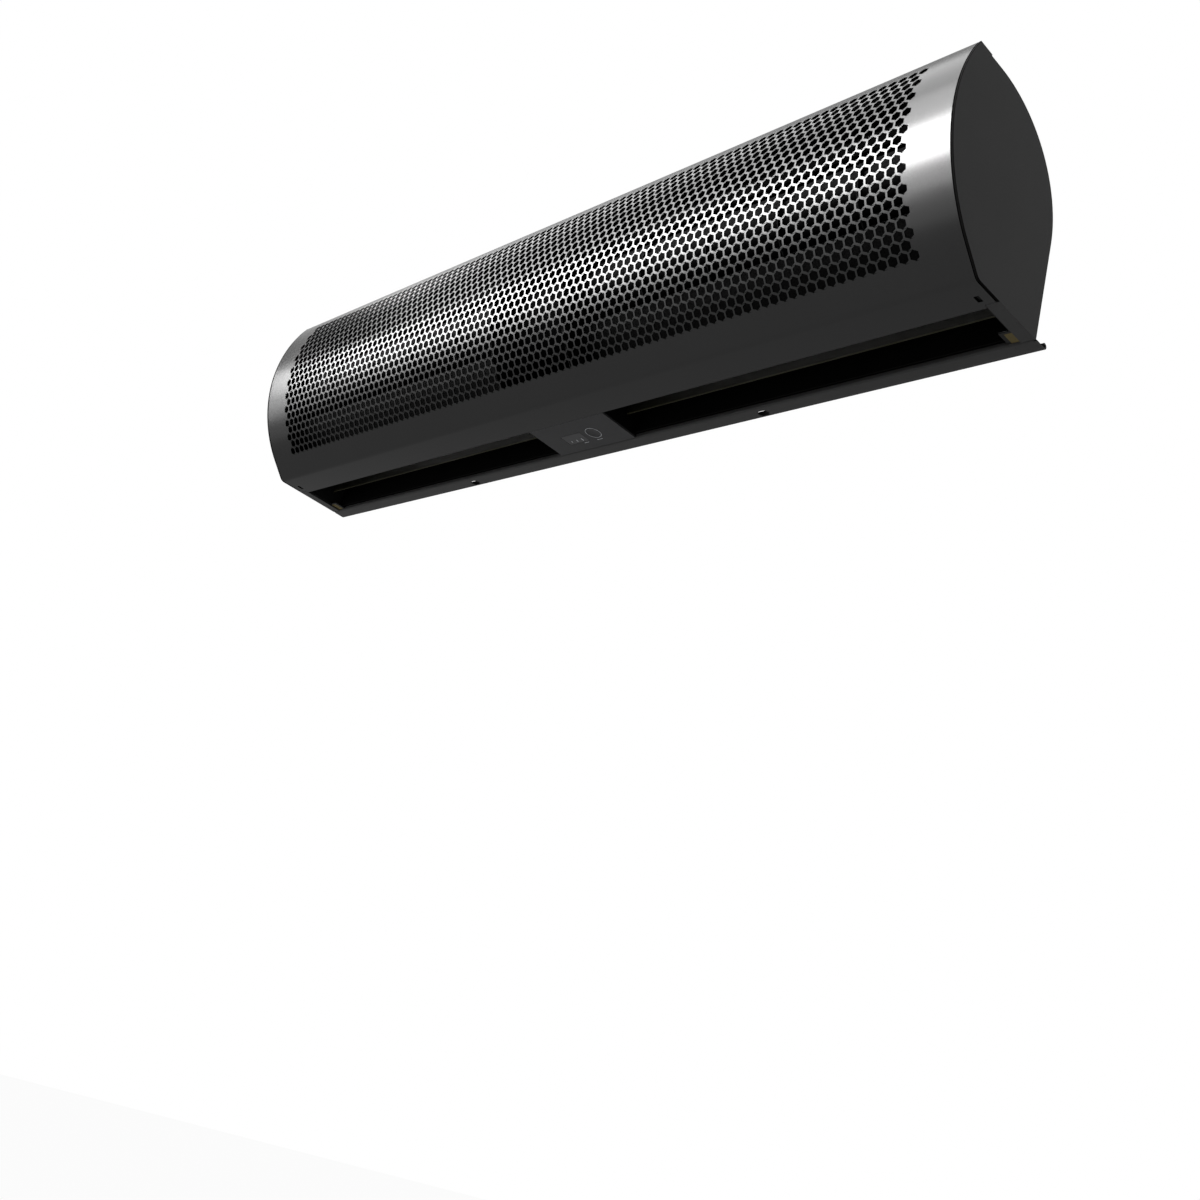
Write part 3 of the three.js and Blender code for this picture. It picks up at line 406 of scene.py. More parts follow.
def add_object(name: str, data: bpy.types.ID) -> bpy.types.Object:
    """Put a mesh, lamp or camera into the scene."""
    made = bpy.data.objects.new(name, data)
    bpy.context.scene.collection.objects.link(made)
    return made


def to_mesh(bm: BMesh, name: str) -> bpy.types.Mesh:
    """Turn a drawing into a mesh, which uses the drawing up."""
    mesh = bpy.data.meshes.new(name)
    bm.to_mesh(mesh)
    bm.free()
    return mesh


# ---- Drawing in millimetres ----


def on_circle(centre: Point, radius: float, degrees: float) -> Point:
    """Give the section point on a circle at an angle from +y towards +z."""
    angle = math.radians(degrees)
    return centre[0] + radius * math.cos(angle), centre[1] + radius * math.sin(angle)


def arc(centre: Point, radius: float, start: float, end: float, steps: int) -> list[Point]:
    """Give points along an arc, both ends included, with its angles in degrees."""
    return [on_circle(centre, radius, start + (end - start) * i / steps) for i in range(steps + 1)]


def rounded(corners: list[Point], radius: float, steps: int = 5) -> list[Point]:
    """Round the inner corners of an open path.

    Args:
        corners: the path's corners.
        radius: the radius of each rounding.
        steps: the steps of each rounding.

    Returns:
        The path with an arc at each corner between its two ends.
    """
    path = [corners[0]]
    for before, corner, after in zip(corners, corners[1:], corners[2:]):
        here = Vector(corner)
        back = (Vector(before) - here).normalized()
        ahead = (Vector(after) - here).normalized()
        half = back.angle(ahead) / 2
        centre = here + (back + ahead).normalized() * (radius / math.sin(half))
        reach = radius / math.tan(half)
        first, last = here + back * reach - centre, here + ahead * reach - centre
        start = math.degrees(math.atan2(first.y, first.x))
        swing = math.degrees(math.atan2(last.y, last.x)) - start
        path += arc(tuple(centre), radius, start, start + (swing + 180) % 360 - 180, steps)
    return path + [corners[-1]]


def rounded_rectangle(centre: Point, half: Point, radius: float, steps: int = 5) -> list[Point]:
    """Give the closed outline of a rectangle with round corners.

    Args:
        centre: its centre.
        half: half its width and height.
        radius: the radius of its corners.
        steps: the steps of each corner.

    Returns:
        Its points, anticlockwise.
    """
    points = []
    for number, (sx, sy) in enumerate(((1, 1), (-1, 1), (-1, -1), (1, -1))):
        corner = (centre[0] + sx * (half[0] - radius), centre[1] + sy * (half[1] - radius))
        points += arc(corner, radius, 90 * number, 90 * number + 90, steps)
    return points


def add_loop(bm: BMesh, points: list[Place], closed: bool = True) -> list[BMEdge]:
    """Draw a line through points, back to the first one if it is closed, and give its edges."""
    verts = [bm.verts.new(point) for point in points]
    ends = verts[1:] + verts[:1] if closed else verts[1:]
    return [bm.edges.new(pair) for pair in zip(verts, ends)]


def new_verts(result: dict) -> list[BMVert]:
    """Give the vertices in a mesh operator's result."""
    return [item for item in result["geom"] if isinstance(item, BMVert)]


def new_faces(result: dict) -> list[BMFace]:
    """Give the faces in a mesh operator's result."""
    return [item for item in result["geom"] if isinstance(item, BMFace)]


def parts_of(faces: list[BMFace]) -> list[BMFace | BMEdge | BMVert]:
    """Give faces with all their edges and vertices, as a mesh operator takes them."""
    return [*faces, *{e for f in faces for e in f.edges}, *{v for f in faces for v in f.verts}]


def sweep(bm: BMesh, path: list[Point], x0: float, x1: float) -> None:
    """Draw a section path at x0 and carry it along to x1 as a sheet."""
    edges = add_loop(bm, [(x0, y, z) for y, z in path], closed=False)
    result = ops.extrude_edge_only(bm, edges=edges)
    ops.translate(bm, verts=new_verts(result), vec=(x1 - x0, 0, 0))


def fill(bm: BMesh, *loops: list[BMEdge]) -> None:
    """Fill a flat outline, leaving the loops inside it as holes."""
    ops.triangle_fill(bm, edges=[edge for loop in loops for edge in loop], use_beauty=True)


def grow(bm: BMesh, faces: list[BMFace], step: Place) -> list[BMFace]:
    """Extrude faces by a step, and give the faces at the new end."""
    result = ops.extrude_face_region(bm, geom=faces)
    ops.translate(bm, verts=new_verts(result), vec=step)
    ops.recalc_face_normals(bm, faces=bm.faces)
    return new_faces(result)


def thicken(bm: BMesh, thickness: float, towards: Place = REARWARD) -> list[BMFace]:
    """Give a sheet its thickness.

    Args:
        bm: the mesh that holds only the sheet.
        thickness: how thick it gets.
        towards: the side that it grows to, judged over the whole sheet by area.

    Returns:
        The faces of its cut edges.
    """
    ops.remove_doubles(bm, verts=bm.verts, dist=SAME_PLACE)
    ops.recalc_face_normals(bm, faces=bm.faces)
    bm.normal_update()
    facing = sum((face.normal * face.calc_area() for face in bm.faces), Vector())
    if facing.dot(Vector(towards)) > 0:
        ops.reverse_faces(bm, faces=bm.faces)
    before = set(bm.verts)
    ops.solidify(bm, geom=bm.faces[:], thickness=thickness)
    ops.recalc_face_normals(bm, faces=bm.faces)
    return [f for f in bm.faces if 0 < sum(v in before for v in f.verts) < len(f.verts)]


def turn(bm: BMesh, profile: list[Point], centre: Place, axis: Place, steps: int) -> None:
    """Turn a profile of (along, radius) points round an axis.

    Args:
        bm: the mesh to draw in.
        profile: the profile, closed on itself or with both ends on the axis.
        centre: a point on the axis, from which along is measured.
        axis: the axis.
        steps: the sides of the turned piece.
    """
    line, middle = Vector(axis), Vector(centre)
    across = line.orthogonal().normalized()
    on_axis = profile[0][1] == 0 and profile[-1][1] == 0
    points = [tuple(middle + line * along + across * radius) for along, radius in profile]
    edges = add_loop(bm, points, closed=not on_axis)
    verts = list({vert for edge in edges for vert in edge.verts})
    ops.spin(bm, geom=verts + edges, cent=middle, axis=line, dvec=(0, 0, 0),
             angle=math.tau, steps=steps, use_merge=True, use_duplicate=False)
    ops.remove_doubles(bm, verts=bm.verts, dist=TOUCHING)
    ops.recalc_face_normals(bm, faces=bm.faces)


def sharp_edges(bm: BMesh) -> list[BMEdge]:
    """Give the edges at which two faces meet sharply."""
    return [e for e in bm.edges if len(e.link_faces) == 2 and e.calc_face_angle(0) > SHARP]


def bevel(
    bm: BMesh, edges: list[BMEdge], radius: float, segments: int, clamp: bool = False
) -> None:
    """Round edges, if need be with a radius clamped to what fits."""
    ops.bevel(bm, geom=edges, offset=radius, offset_type="OFFSET", segments=segments,
              profile=0.5, affect="EDGES", material=-1, clamp_overlap=clamp)


def soften(bm: BMesh, radius: float) -> None:
    """Round every sharp edge."""
    bevel(bm, sharp_edges(bm), radius, 2, clamp=True)


def block(bm: BMesh, low: Place, high: Place, edge: float) -> None:
    """Add a block between two corners, with rounded edges."""
    size = Vector(high) - Vector(low)
    place = Matrix.Translation((Vector(low) + Vector(high)) / 2) @ Matrix.Diagonal((*size, 1))
    made = ops.create_cube(bm, size=1, matrix=place)
    bevel(bm, list({e for vert in made["verts"] for e in vert.link_edges}), edge, 3)


class Workshop:
    """Turns drawings in the casing's millimetres into finished pieces in the frame."""

    def __init__(self) -> None:
        """Find the casing's own zero in the frame from its right end cap."""
        low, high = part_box("end_cap_right")
        self.place = Matrix.Translation((0, high.y, low.z)) @ Matrix.Scale(MM, 4)
        self.materials = {finish: finish.value.make() for finish in Finishes}

    def deliver(self, bm: BMesh, name: str, finish: Finishes, body: str = "casing",
                instead_of: str = "", smooth_below: float = 20.0) -> None:
        """Place a drawing in the frame as one piece.

        Args:
            bm: the drawing, which is used up.
            name: the piece's name.
            finish: its finish.
            body: the body that it moves with.
            instead_of: the node that it is shown in place of, if any.
            smooth_below: edges flatter than this many degrees are shaded smooth.
        """
        ops.transform(bm, matrix=self.place, verts=bm.verts)
        mesh = to_mesh(bm, name)
        mesh.shade_smooth()
        mesh.set_sharp_from_angle(angle=math.radians(smooth_below))
        mesh.materials.append(self.materials[finish])
        piece = add_object(name, mesh)
        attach(piece, body)
        if instead_of:
            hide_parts(instead_of)
        LOG.info("%s: %d faces, %s", name, len(mesh.polygons), finish.value.name)

    def dress(self, node: str, finish: Finishes) -> None:
        """Give a node that keeps its own solid its finish."""
        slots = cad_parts[node].data.materials
        slots.clear()
        slots.append(self.materials[finish])
        LOG.info("%s: kept solid, %s", node, finish.value.name)


# ---- The casing's section ----


@dataclass(frozen=True)
class Section:
    """The casing's outline seen from its end, in millimetres."""

    rear_wall: float = 85.5
    rear_radius: float = 92.0
    front_radius: float = 142.0
    front_centre: Point = (7.5, 118.0)
    arc_end: float = 225.4
    bend_radius: float = 8.0
    lap: float = 1.3
    lip_flat: float = 14.8

    @property
    def top(self) -> float:
        """The height of the shell's top."""
        return self.rear_wall + self.rear_radius

    @property
    def apex(self) -> float:
        """The height of the cover's top lip."""
        return self.top + self.lap

    def front_angle(self, height: float, radius: float) -> float:
        """The angle in degrees at which a circle round the front's centre reaches a height."""
        return 180 - math.degrees(math.asin((height - self.front_centre[1]) / radius))

    @property
    def lip_end(self) -> float:
        """Where the cover's top lip ends on the shell."""
        angle = self.front_angle(self.apex, self.front_radius)
        return on_circle(self.front_centre, self.front_radius, angle)[0] + self.lip_flat

    def slope(self) -> tuple[Point, Point]:
        """The straight slope's top, and the corner that it would reach on the underside."""
        y, z = on_circle(self.front_centre, self.front_radius, self.arc_end)
        return (y, z), (y + z * math.tan(math.radians(self.arc_end)), 0.0)

    def rear_curve(self, inset: float, steps: int) -> list[Point]:
        """The curve from the rear wall to the top, inset from the shell's outside."""
        return arc((-self.rear_radius, self.rear_wall), self.rear_radius - inset, 0, 90, steps)

    def outline(self) -> list[Point]:
        """The whole outline of an end cap, from the rear underside corner up and round.

        Returns:
            Its points, without the first one repeated.
        """
        slope_top, corner = self.slope()
        apex_angle = self.front_angle(self.apex, self.front_radius)
        return [
            (0.0, 0.0),
            *self.rear_curve(0.0, 28),
            (self.lip_end, self.top),
            (self.lip_end, self.apex),
            *arc(self.front_centre, self.front_radius, apex_angle, self.arc_end, 36),
            *rounded([slope_top, corner, (0.0, 0.0)], self.bend_radius)[1:-1],
        ]


@dataclass(frozen=True)
class Straight:
    """A flat stretch of a folded sheet."""

    start: Point
    end: Point

    @property
    def length(self) -> float:
        """Its length."""
        return math.dist(self.start, self.end)

    def at(self, distance: float) -> Point:
        """The section point at a distance from its start."""
        share = distance / self.length
        return tuple(a + (b - a) * share for a, b in zip(self.start, self.end))


@dataclass(frozen=True)
class Bend:
    """A rolled or folded stretch of a sheet, from one angle in degrees to another."""

    centre: Point
    radius: float
    start: float
    end: float

    @property
    def length(self) -> float:
        """Its length round the arc."""
        return self.radius * math.radians(abs(self.end - self.start))

    def at(self, distance: float) -> Point:
        """The section point at a distance from its start."""
        angle = self.start + (self.end - self.start) * distance / self.length
        return on_circle(self.centre, self.radius, angle)


# ---- Front cover ----


@dataclass
class FrontCover:
    """The perforated cover: a flat blank with its holes, rolled and folded to its shape."""

    section: Section
    sheet: float = 1.0
    half_length: float = 449.0
    outlet_edge: float = -45.3
    pitch: float = 9.0
    across_flats: float = 6.1
    rows: int = 21
    long_row: int = 92
    top_bend: float = 1.2
    notch: Point = (440.2, -48.8)
    slot_x: Point = (437.7, 441.7)
    slot_y: Point = (-59.7, -53.0)
    stretches: list[Straight | Bend] = field(init=False)
    rolled_from: float = field(init=False)

    def __post_init__(self) -> None:
        """Work out the stretches of the folded sheet, from the outlet edge up to the top lip."""
        section = self.section
        slope_top, corner = section.slope()
        line = rounded([(self.outlet_edge, 0.0), corner, slope_top], section.bend_radius)
        run = section.bend_radius * math.tan(math.radians((section.arc_end - 180) / 2))
        middle = (corner[0] + run, section.bend_radius)
        centre, lip_radius = section.front_centre, section.front_radius - self.top_bend
        apex_angle = section.front_angle(section.apex - self.top_bend, lip_radius)
        lip_centre = on_circle(centre, lip_radius, apex_angle)
        self.stretches = [
            Straight((self.outlet_edge, 0.0), line[1]),
            Bend(middle, section.bend_radius, 270.0, section.arc_end),
            Straight(line[-2], slope_top),
            Bend(centre, section.front_radius, section.arc_end, apex_angle),
            Bend(lip_centre, self.top_bend, apex_angle, 90.0),
            Straight((lip_centre[0], section.apex), (section.lip_end, section.apex)),
        ]
        self.rolled_from = sum(stretch.length for stretch in self.stretches[:3])

    @property
    def row_height(self) -> float:
        """The height of one row of holes along the curve."""
        return self.pitch * math.sqrt(3) / 2

    def fold(self, distance: float) -> Point:
        """The section point at a distance up the blank."""
        for stretch in self.stretches[:-1]:
            if distance <= stretch.length:
                return stretch.at(distance)
            distance -= stretch.length
        return self.stretches[-1].at(distance)

    def cell(self, bm: BMesh) -> list[BMFace]:
        """Draw one hole with the rectangle of sheet round it, at the blank's origin.

        Args:
            bm: the blank.

        Returns:
            The six faces round the hole.
        """
        circle = ops.create_circle(bm, cap_ends=True, segments=6, radius=self.pitch)
        hexagon = circle["verts"][0].link_faces[0]
        inset = (self.pitch - self.across_flats / math.sqrt(3)) * math.sqrt(3) / 2
        ring = ops.inset_individual(bm, faces=[hexagon], thickness=inset)["faces"]
        ops.delete(bm, geom=[hexagon], context="FACES_ONLY")
        for vert in circle["verts"]:
            if abs(vert.co.x) > self.pitch / 4:
                vert.co.x = math.copysign(self.pitch / 2, vert.co.x)
            vert.co.y = math.copysign(self.row_height / 2, vert.co.y)
        return ring

    def row(self, bm: BMesh, number: int) -> None:
        """Draw one row of holes, with half cells at the ends of the shifted rows.

        Args:
            bm: the blank.
            number: the row, from 0 at the bottom.
        """
        count = self.long_row - number % 2
        height = self.rolled_from + (number + 0.5) * self.row_height
        parts = parts_of(self.cell(bm))
        start = (-(count - 1) * self.pitch / 2, height, 0)
        ops.translate(bm, verts=[p for p in parts if isinstance(p, BMVert)], vec=start)
        ops.spin(bm, geom=parts, cent=(0, 0, 0), axis=UP, dvec=(self.pitch, 0, 0), angle=0,
                 steps=count - 1, use_duplicate=True)
        if number % 2:
            for side in SIDES:
                size = Matrix.Diagonal((self.pitch / 2, self.row_height, 1, 1))
                x = side * (self.long_row * self.pitch / 2 - self.pitch / 4)
                place = Matrix.Translation((x, height, 0)) @ size
                ops.create_grid(bm, x_segments=1, y_segments=1, size=0.5, matrix=place)

    def widen(self, bm: BMesh, axis: int, start: float, lines: list[float]) -> None:
        """Add plain sheet beside an open side of the blank.

        Args:
            bm: the blank.
            axis: 0 to widen it along X, 1 to widen it along its height.
            start: where the open side is.
            lines: where each new line of the sheet goes, in order.
        """
        for line in lines:
            edges = [e for e in bm.edges if e.is_boundary and all(
                abs(v.co[axis] - start) < SAME_PLACE for v in e.verts)]
            for vert in new_verts(ops.extrude_edge_only(bm, edges=edges)):
                vert.co[axis] = line
            start = line

    def lines_below(self) -> list[float]:
        """The lines of the plain sheet under the holes, from the slope down to the outlet edge."""
        flat, bend = (stretch.length for stretch in self.stretches[:2])
        return [*(flat + bend * i / 6 for i in range(6, -1, -1)), 0.0]

    def lines_above(self, top_row: float) -> list[float]:
        """The lines of the plain sheet over the holes, up to the end of the top lip."""
        rolled, bend, lip = (stretch.length for stretch in self.stretches[3:])
        rolled += self.rolled_from
        strip = [top_row + (rolled - top_row) * i / 3 for i in (1, 2, 3)]
        return [*strip, *(rolled + bend * i / 4 for i in (1, 2, 3, 4)), rolled + bend + lip]

    def cut_rectangle(self, bm: BMesh, xs: Point, heights: Point) -> None:
        """Cut a rectangle out of the blank's plain margins.

        Args:
            bm: the blank.
            xs: its lowest and highest x.
            heights: its lowest and highest place up the blank.
        """
        low, high = (Vector((x, y, 0)) for x, y in zip(xs, heights))
        for corner in (low, high):
            for normal in (ALONG, REARWARD):
                near = [f for f in bm.faces if all(
                    min(v.co[i] for v in f.verts) < high[i]
                    and max(v.co[i] for v in f.verts) > low[i] for i in (0, 1))]
                ops.bisect_plane(bm, geom=parts_of(near), dist=TOUCHING, plane_co=corner,
                                 plane_no=normal)
        inside = [f for f in bm.faces if all(
            low[i] < f.calc_center_median()[i] < high[i] for i in (0, 1))]
        ops.delete(bm, geom=inside, context="FACES")

    def blank(self) -> BMesh:
        """Draw the flat blank: X along the casing, Y up the sheet.

        Returns:
            The blank, without thickness.
        """
        bm = bmesh.new()
        for number in range(self.rows):
            self.row(bm, number)
        ops.remove_doubles(bm, verts=bm.verts, dist=SAME_PLACE)
        band = self.long_row * self.pitch / 2
        top_row = self.rolled_from + self.rows * self.row_height
        self.widen(bm, 0, -band, [-self.half_length])
        self.widen(bm, 0, band, [self.half_length])
        self.widen(bm, 1, self.rolled_from, self.lines_below())
        self.widen(bm, 1, top_row, self.lines_above(top_row))
        for side in SIDES:
            heights = sorted(self.outlet_edge - y for y in self.slot_y)
            self.cut_rectangle(bm, sorted(side * x for x in self.slot_x), heights)
            notch = sorted((side * self.notch[0], side * (self.half_length + 1)))
            self.cut_rectangle(bm, notch, (-1.0, self.outlet_edge - self.notch[1]))
        return bm

    def build(self, shop: Workshop) -> None:
        """Roll and fold the blank, and give it its thickness and lacquer."""
        bm = self.blank()
        for vert in bm.verts:
            vert.co = (vert.co.x, *self.fold(vert.co.y))
        bm.normal_update()
        cut = bm.faces.layers.float.new(CUT_EDGE)
        for face in thicken(bm, self.sheet):
            face[cut] = 1.0
        shop.deliver(bm, "perforated_cover", Finishes.PEARL, instead_of="front_cover")


# ---- End caps, rear shell and wall mounting ----


@dataclass
class EndCap:
    """A flat end plate with a lip inside the cover and shell, and a foot beside the outlet."""

    section: Section
    side: int
    inner: float = 450.0
    outer: float = 451.5
    inset: float = 1.5
    lip: float = 1.2
    lip_depth: float = 9.5
    foot_front: float = -48.5
    foot_gap: float = 0.02
    foot_edge: float = 0.15
    edge: float = 0.25
    # painted shadow: the width of the black line in the seam round the plate's edge
    shadow_width: float = 0.3

    def face_with_shadow_line(self, bm: BMesh) -> tuple[BMFace, list[BMFace]]:
        """Draw the cap's flat outside: its face, and the band of painted shadow round it."""
        ring = add_loop(bm, [(self.side * self.outer, y, z) for y, z in self.section.outline()])
        face = bm.faces.new([edge.verts[0] for edge in ring])
        face.normal_update()
        return face, ops.inset_region(bm, faces=[face], thickness=self.shadow_width,
                                      use_boundary=True, use_even_offset=True)["faces"]

    def cut_at_foot(
        self, bm: BMesh, faces: list[BMFace], below: float
    ) -> tuple[list[BMFace], list[BMFace]]:
        """Cut faces at the foot's front.

        Args:
            bm: the mesh that holds them.
            faces: the faces.
            below: the height under which a face behind the cut lies along the foot.

        Returns:
            The faces that don't lie along the foot, and those that do.
        """
        cut = new_faces(ops.bisect_plane(bm, geom=parts_of(faces), dist=TOUCHING,
                                         plane_co=(0, self.foot_front, 0), plane_no=REARWARD))
        along = [f for f in cut if f.calc_center_median().z < below
                 and f.calc_center_median().y > self.foot_front]
        return [f for f in cut if f not in along], along

    def seam_shadow(self, shop: Workshop) -> None:
        """Build the painted shadow round the plate's edge, which the foot interrupts."""
        bm = bmesh.new()
        face, border = self.face_with_shadow_line(bm)
        ops.delete(bm, geom=[face], context="FACES")
        _, along = self.cut_at_foot(bm, border, self.shadow_width)
        ops.delete(bm, geom=along, context="FACES")
        grow(bm, bm.faces[:], (self.side * (self.inner - self.outer), 0, 0))
        rim = [e for e in sharp_edges(bm)
               if all(abs(abs(v.co.x) - self.outer) < SAME_PLACE for v in e.verts)]
        bevel(bm, rim, self.edge, 3)
        shop.deliver(bm, f"seam_shadow_{SIDES[self.side]}", Finishes.BLACK, smooth_below=30)

    def build(self, shop: Workshop) -> None:
        """Build the cap with its lip, its foot and the painted shadow round its edge."""
        bm = bmesh.new()
        _, border = self.face_with_shadow_line(bm)
        ops.delete(bm, geom=border, context="FACES")
        face = grow(bm, bm.faces[:], (self.side * (self.inner - self.outer), 0, 0))[0]
        for width in (self.inset - self.shadow_width, self.lip):
            lip = ops.inset_region(bm, faces=[face], thickness=width, use_even_offset=True)["faces"]
        kept, _ = self.cut_at_foot(bm, lip, self.inset + self.lip)
        grow(bm, kept, (-self.side * self.lip_depth, 0, 0))
        ops.delete(bm, geom=kept, context="FACES")
        ops.recalc_face_normals(bm, faces=bm.faces)
        ends = (self.inner - self.lip_depth, self.outer - self.foot_gap)
        start, end = sorted(self.side * x for x in ends)
        block(bm, (start, self.foot_front, 0), (end, -self.inset, self.lip), self.foot_edge)
        name = SIDES[self.side]
        shop.deliver(bm, f"end_plate_{name}", Finishes.GRAPHITE, instead_of=f"end_cap_{name}",
                     smooth_below=14)
        self.seam_shadow(shop)


@dataclass
class RearShell:
    """One bent sheet: the flange with its rolled bead, the rear wall, the curve and the top."""

    section: Section
    sheet: float = 1.2
    half_length: float = 449.7
    flange_half: float = 451.5
    corner: float = 1.8
    bead: float = 2.5
    bead_y: float = 11.2
    bead_curl: float = 110.0
    hole_x: float = 195.0
    hole_y: float = 7.6
    hole_length: float = 11.0
    hole_width: float = 7.0
    lap: float = 12.0
    curve_steps: int = 40
    # painted shade: a thin black sheet just inside the shell, where its inside lies in shade
    shade_sheet_low: float = 4.0
    shade_sheet_thickness: float = 0.15
    shade_sheet_gap: float = 0.05
    shade_sheet_short: float = 12.0

    def hole(self, bm: BMesh, x: float) -> list[BMEdge]:
        """Draw the outline of one flange hole, longer along the casing than across it."""
        reach = (self.hole_length - self.hole_width) / 2
        ends = [point for side, start in ((1, -90), (-1, 90)) for point in arc(
            (x + side * reach, self.hole_y), self.hole_width / 2, start, start + 180, 14)]
        return add_loop(bm, [(px, py, 0) for px, py in ends])

    def flange(self, bm: BMesh) -> None:
        """Draw the flat flange with its two holes."""
        front = self.corner - self.sheet
        xs = (-self.flange_half, -self.half_length, self.half_length, self.flange_half)
        rim = add_loop(bm, [*((x, front, 0) for x in xs), (self.flange_half, self.bead_y, 0),
                            (-self.flange_half, self.bead_y, 0)])
        fill(bm, rim, self.hole(bm, -self.hole_x), self.hole(bm, self.hole_x))

    def build(self, shop: Workshop) -> None:
        """Build the shell and the sheet of painted shade inside it."""
        bm = bmesh.new()
        bead = arc((self.bead_y, self.bead), self.bead, self.bead_curl, -90, 22)
        sweep(bm, bead, -self.flange_half, self.flange_half)
        self.flange(bm)
        corners = [(self.corner - self.sheet, 0.0), (-self.sheet, 0.0),
                   (-self.sheet, self.section.rear_wall)]
        path = [*rounded(corners, self.corner)[1:-1],
                *self.section.rear_curve(self.sheet, self.curve_steps),
                (self.section.lip_end - self.lap, self.section.top - self.sheet)]
        sweep(bm, path, -self.half_length, self.half_length)
        thicken(bm, self.sheet)
        shop.deliver(bm, "bent_rear_shell", Finishes.GRAPHITE, instead_of="rear_shell")
        self.shade_sheet(shop)

    def shade_sheet(self, shop: Workshop) -> None:
        """Build a black sheet of painted shade inside the wall, curve and top, where the fan looks.
        """
        bm = bmesh.new()
        face = self.sheet + self.shade_sheet_gap
        path = [(-face, self.shade_sheet_low), *self.section.rear_curve(face, self.curve_steps),
                (self.section.lip_end, self.section.top - face)]
        half = self.half_length - self.shade_sheet_short
        sweep(bm, path, -half, half)
        thicken(bm, self.shade_sheet_thickness, FORWARD)
        shop.deliver(bm, "painted_shade_sheet", Finishes.BLACK)


@dataclass
class WallMounting:
    """The plate that is screwed to the wall, and the two hooks that hang the casing on it."""

    sheet: float = 1.5
    bend: float = 1.6
    plate_half: float = 330.0
    plate_front: float = 12.5
    plate_low: float = 14.0
    plate_edge: float = 0.2
    lip_front: float = 5.5
    shelf: float = 78.5
    lip_top: float = 90.0
    window_half: Point = (38.0, 18.0)
    window_z: float = 40.0
    window_corner: float = 4.0
    slot_xs: tuple[float, ...] = (-290.0, -110.0, 110.0, 290.0)
    slot_z: float = 40.0
    slot_length: float = 16.0
    slot_width: float = 7.0
    hanger_x: float = 250.0
    hanger_half: float = 30.0
    hanger_low: float = 50.0
    hook_front: float = 0.3
    hook_rear: float = 8.8
    hook_top: float = 91.8
    hook_tip: float = 80.3
    hook_bend: float = 2.2
    hook_edge: float = 0.25

    def on_plate(self, bm: BMesh, points: list[Point]) -> list[BMEdge]:
        """Draw a closed line of (x, z) points on the plate's front face."""
        return add_loop(bm, [(x, self.plate_front, z) for x, z in points])

    def slot(self, bm: BMesh, x: float) -> list[BMEdge]:
        """Draw one upright screw slot."""
        reach = (self.slot_length - self.slot_width) / 2
        return self.on_plate(bm, [point for side, start in ((1, 0), (-1, 180)) for point in arc(
            (x, self.slot_z + side * reach), self.slot_width / 2, start, start + 180, 12)])

    def wall_plate(self, shop: Workshop) -> None:
        """Build the wall plate with its slots, its cable window and its hooked top edge."""
        bm = bmesh.new()
        bent = rounded([
            (self.plate_front, self.plate_low), (self.plate_front, self.shelf),
            (self.lip_front, self.shelf), (self.lip_front, self.lip_top)], self.bend)
        half, low, flat_top = self.plate_half, self.plate_low, bent[1][1]
        rim = self.on_plate(bm, [(-half, low), (half, low), (half, flat_top), (-half, flat_top)])
        window = self.on_plate(bm, rounded_rectangle(
            (0.0, self.window_z), self.window_half, self.window_corner, 6))
        fill(bm, rim, window, *(self.slot(bm, x) for x in self.slot_xs))
        sweep(bm, bent[1:], -half, half)
        thicken(bm, self.sheet)
        soften(bm, self.plate_edge)
        shop.deliver(bm, "slotted_wall_plate", Finishes.ZINC, instead_of="wall_plate")

    def hanger(self, shop: Workshop, side: int) -> None:
        """Build one hook."""
        bm = bmesh.new()
        path = rounded([
            (self.hook_front, self.hanger_low), (self.hook_front, self.hook_top),
            (self.hook_rear, self.hook_top), (self.hook_rear, self.hook_tip)], self.hook_bend)
        middle = side * self.hanger_x
        sweep(bm, path, middle - self.hanger_half, middle + self.hanger_half)
        thicken(bm, self.sheet)
        soften(bm, self.hook_edge)
        shop.deliver(bm, f"hook_{SIDES[side]}", Finishes.ZINC, instead_of=f"hanger_{SIDES[side]}")

    def build(self, shop: Workshop) -> None:
        """Build the plate and both hooks."""
        self.wall_plate(shop)
        for side in SIDES:
            self.hanger(shop, side)


# ---- Screws ----


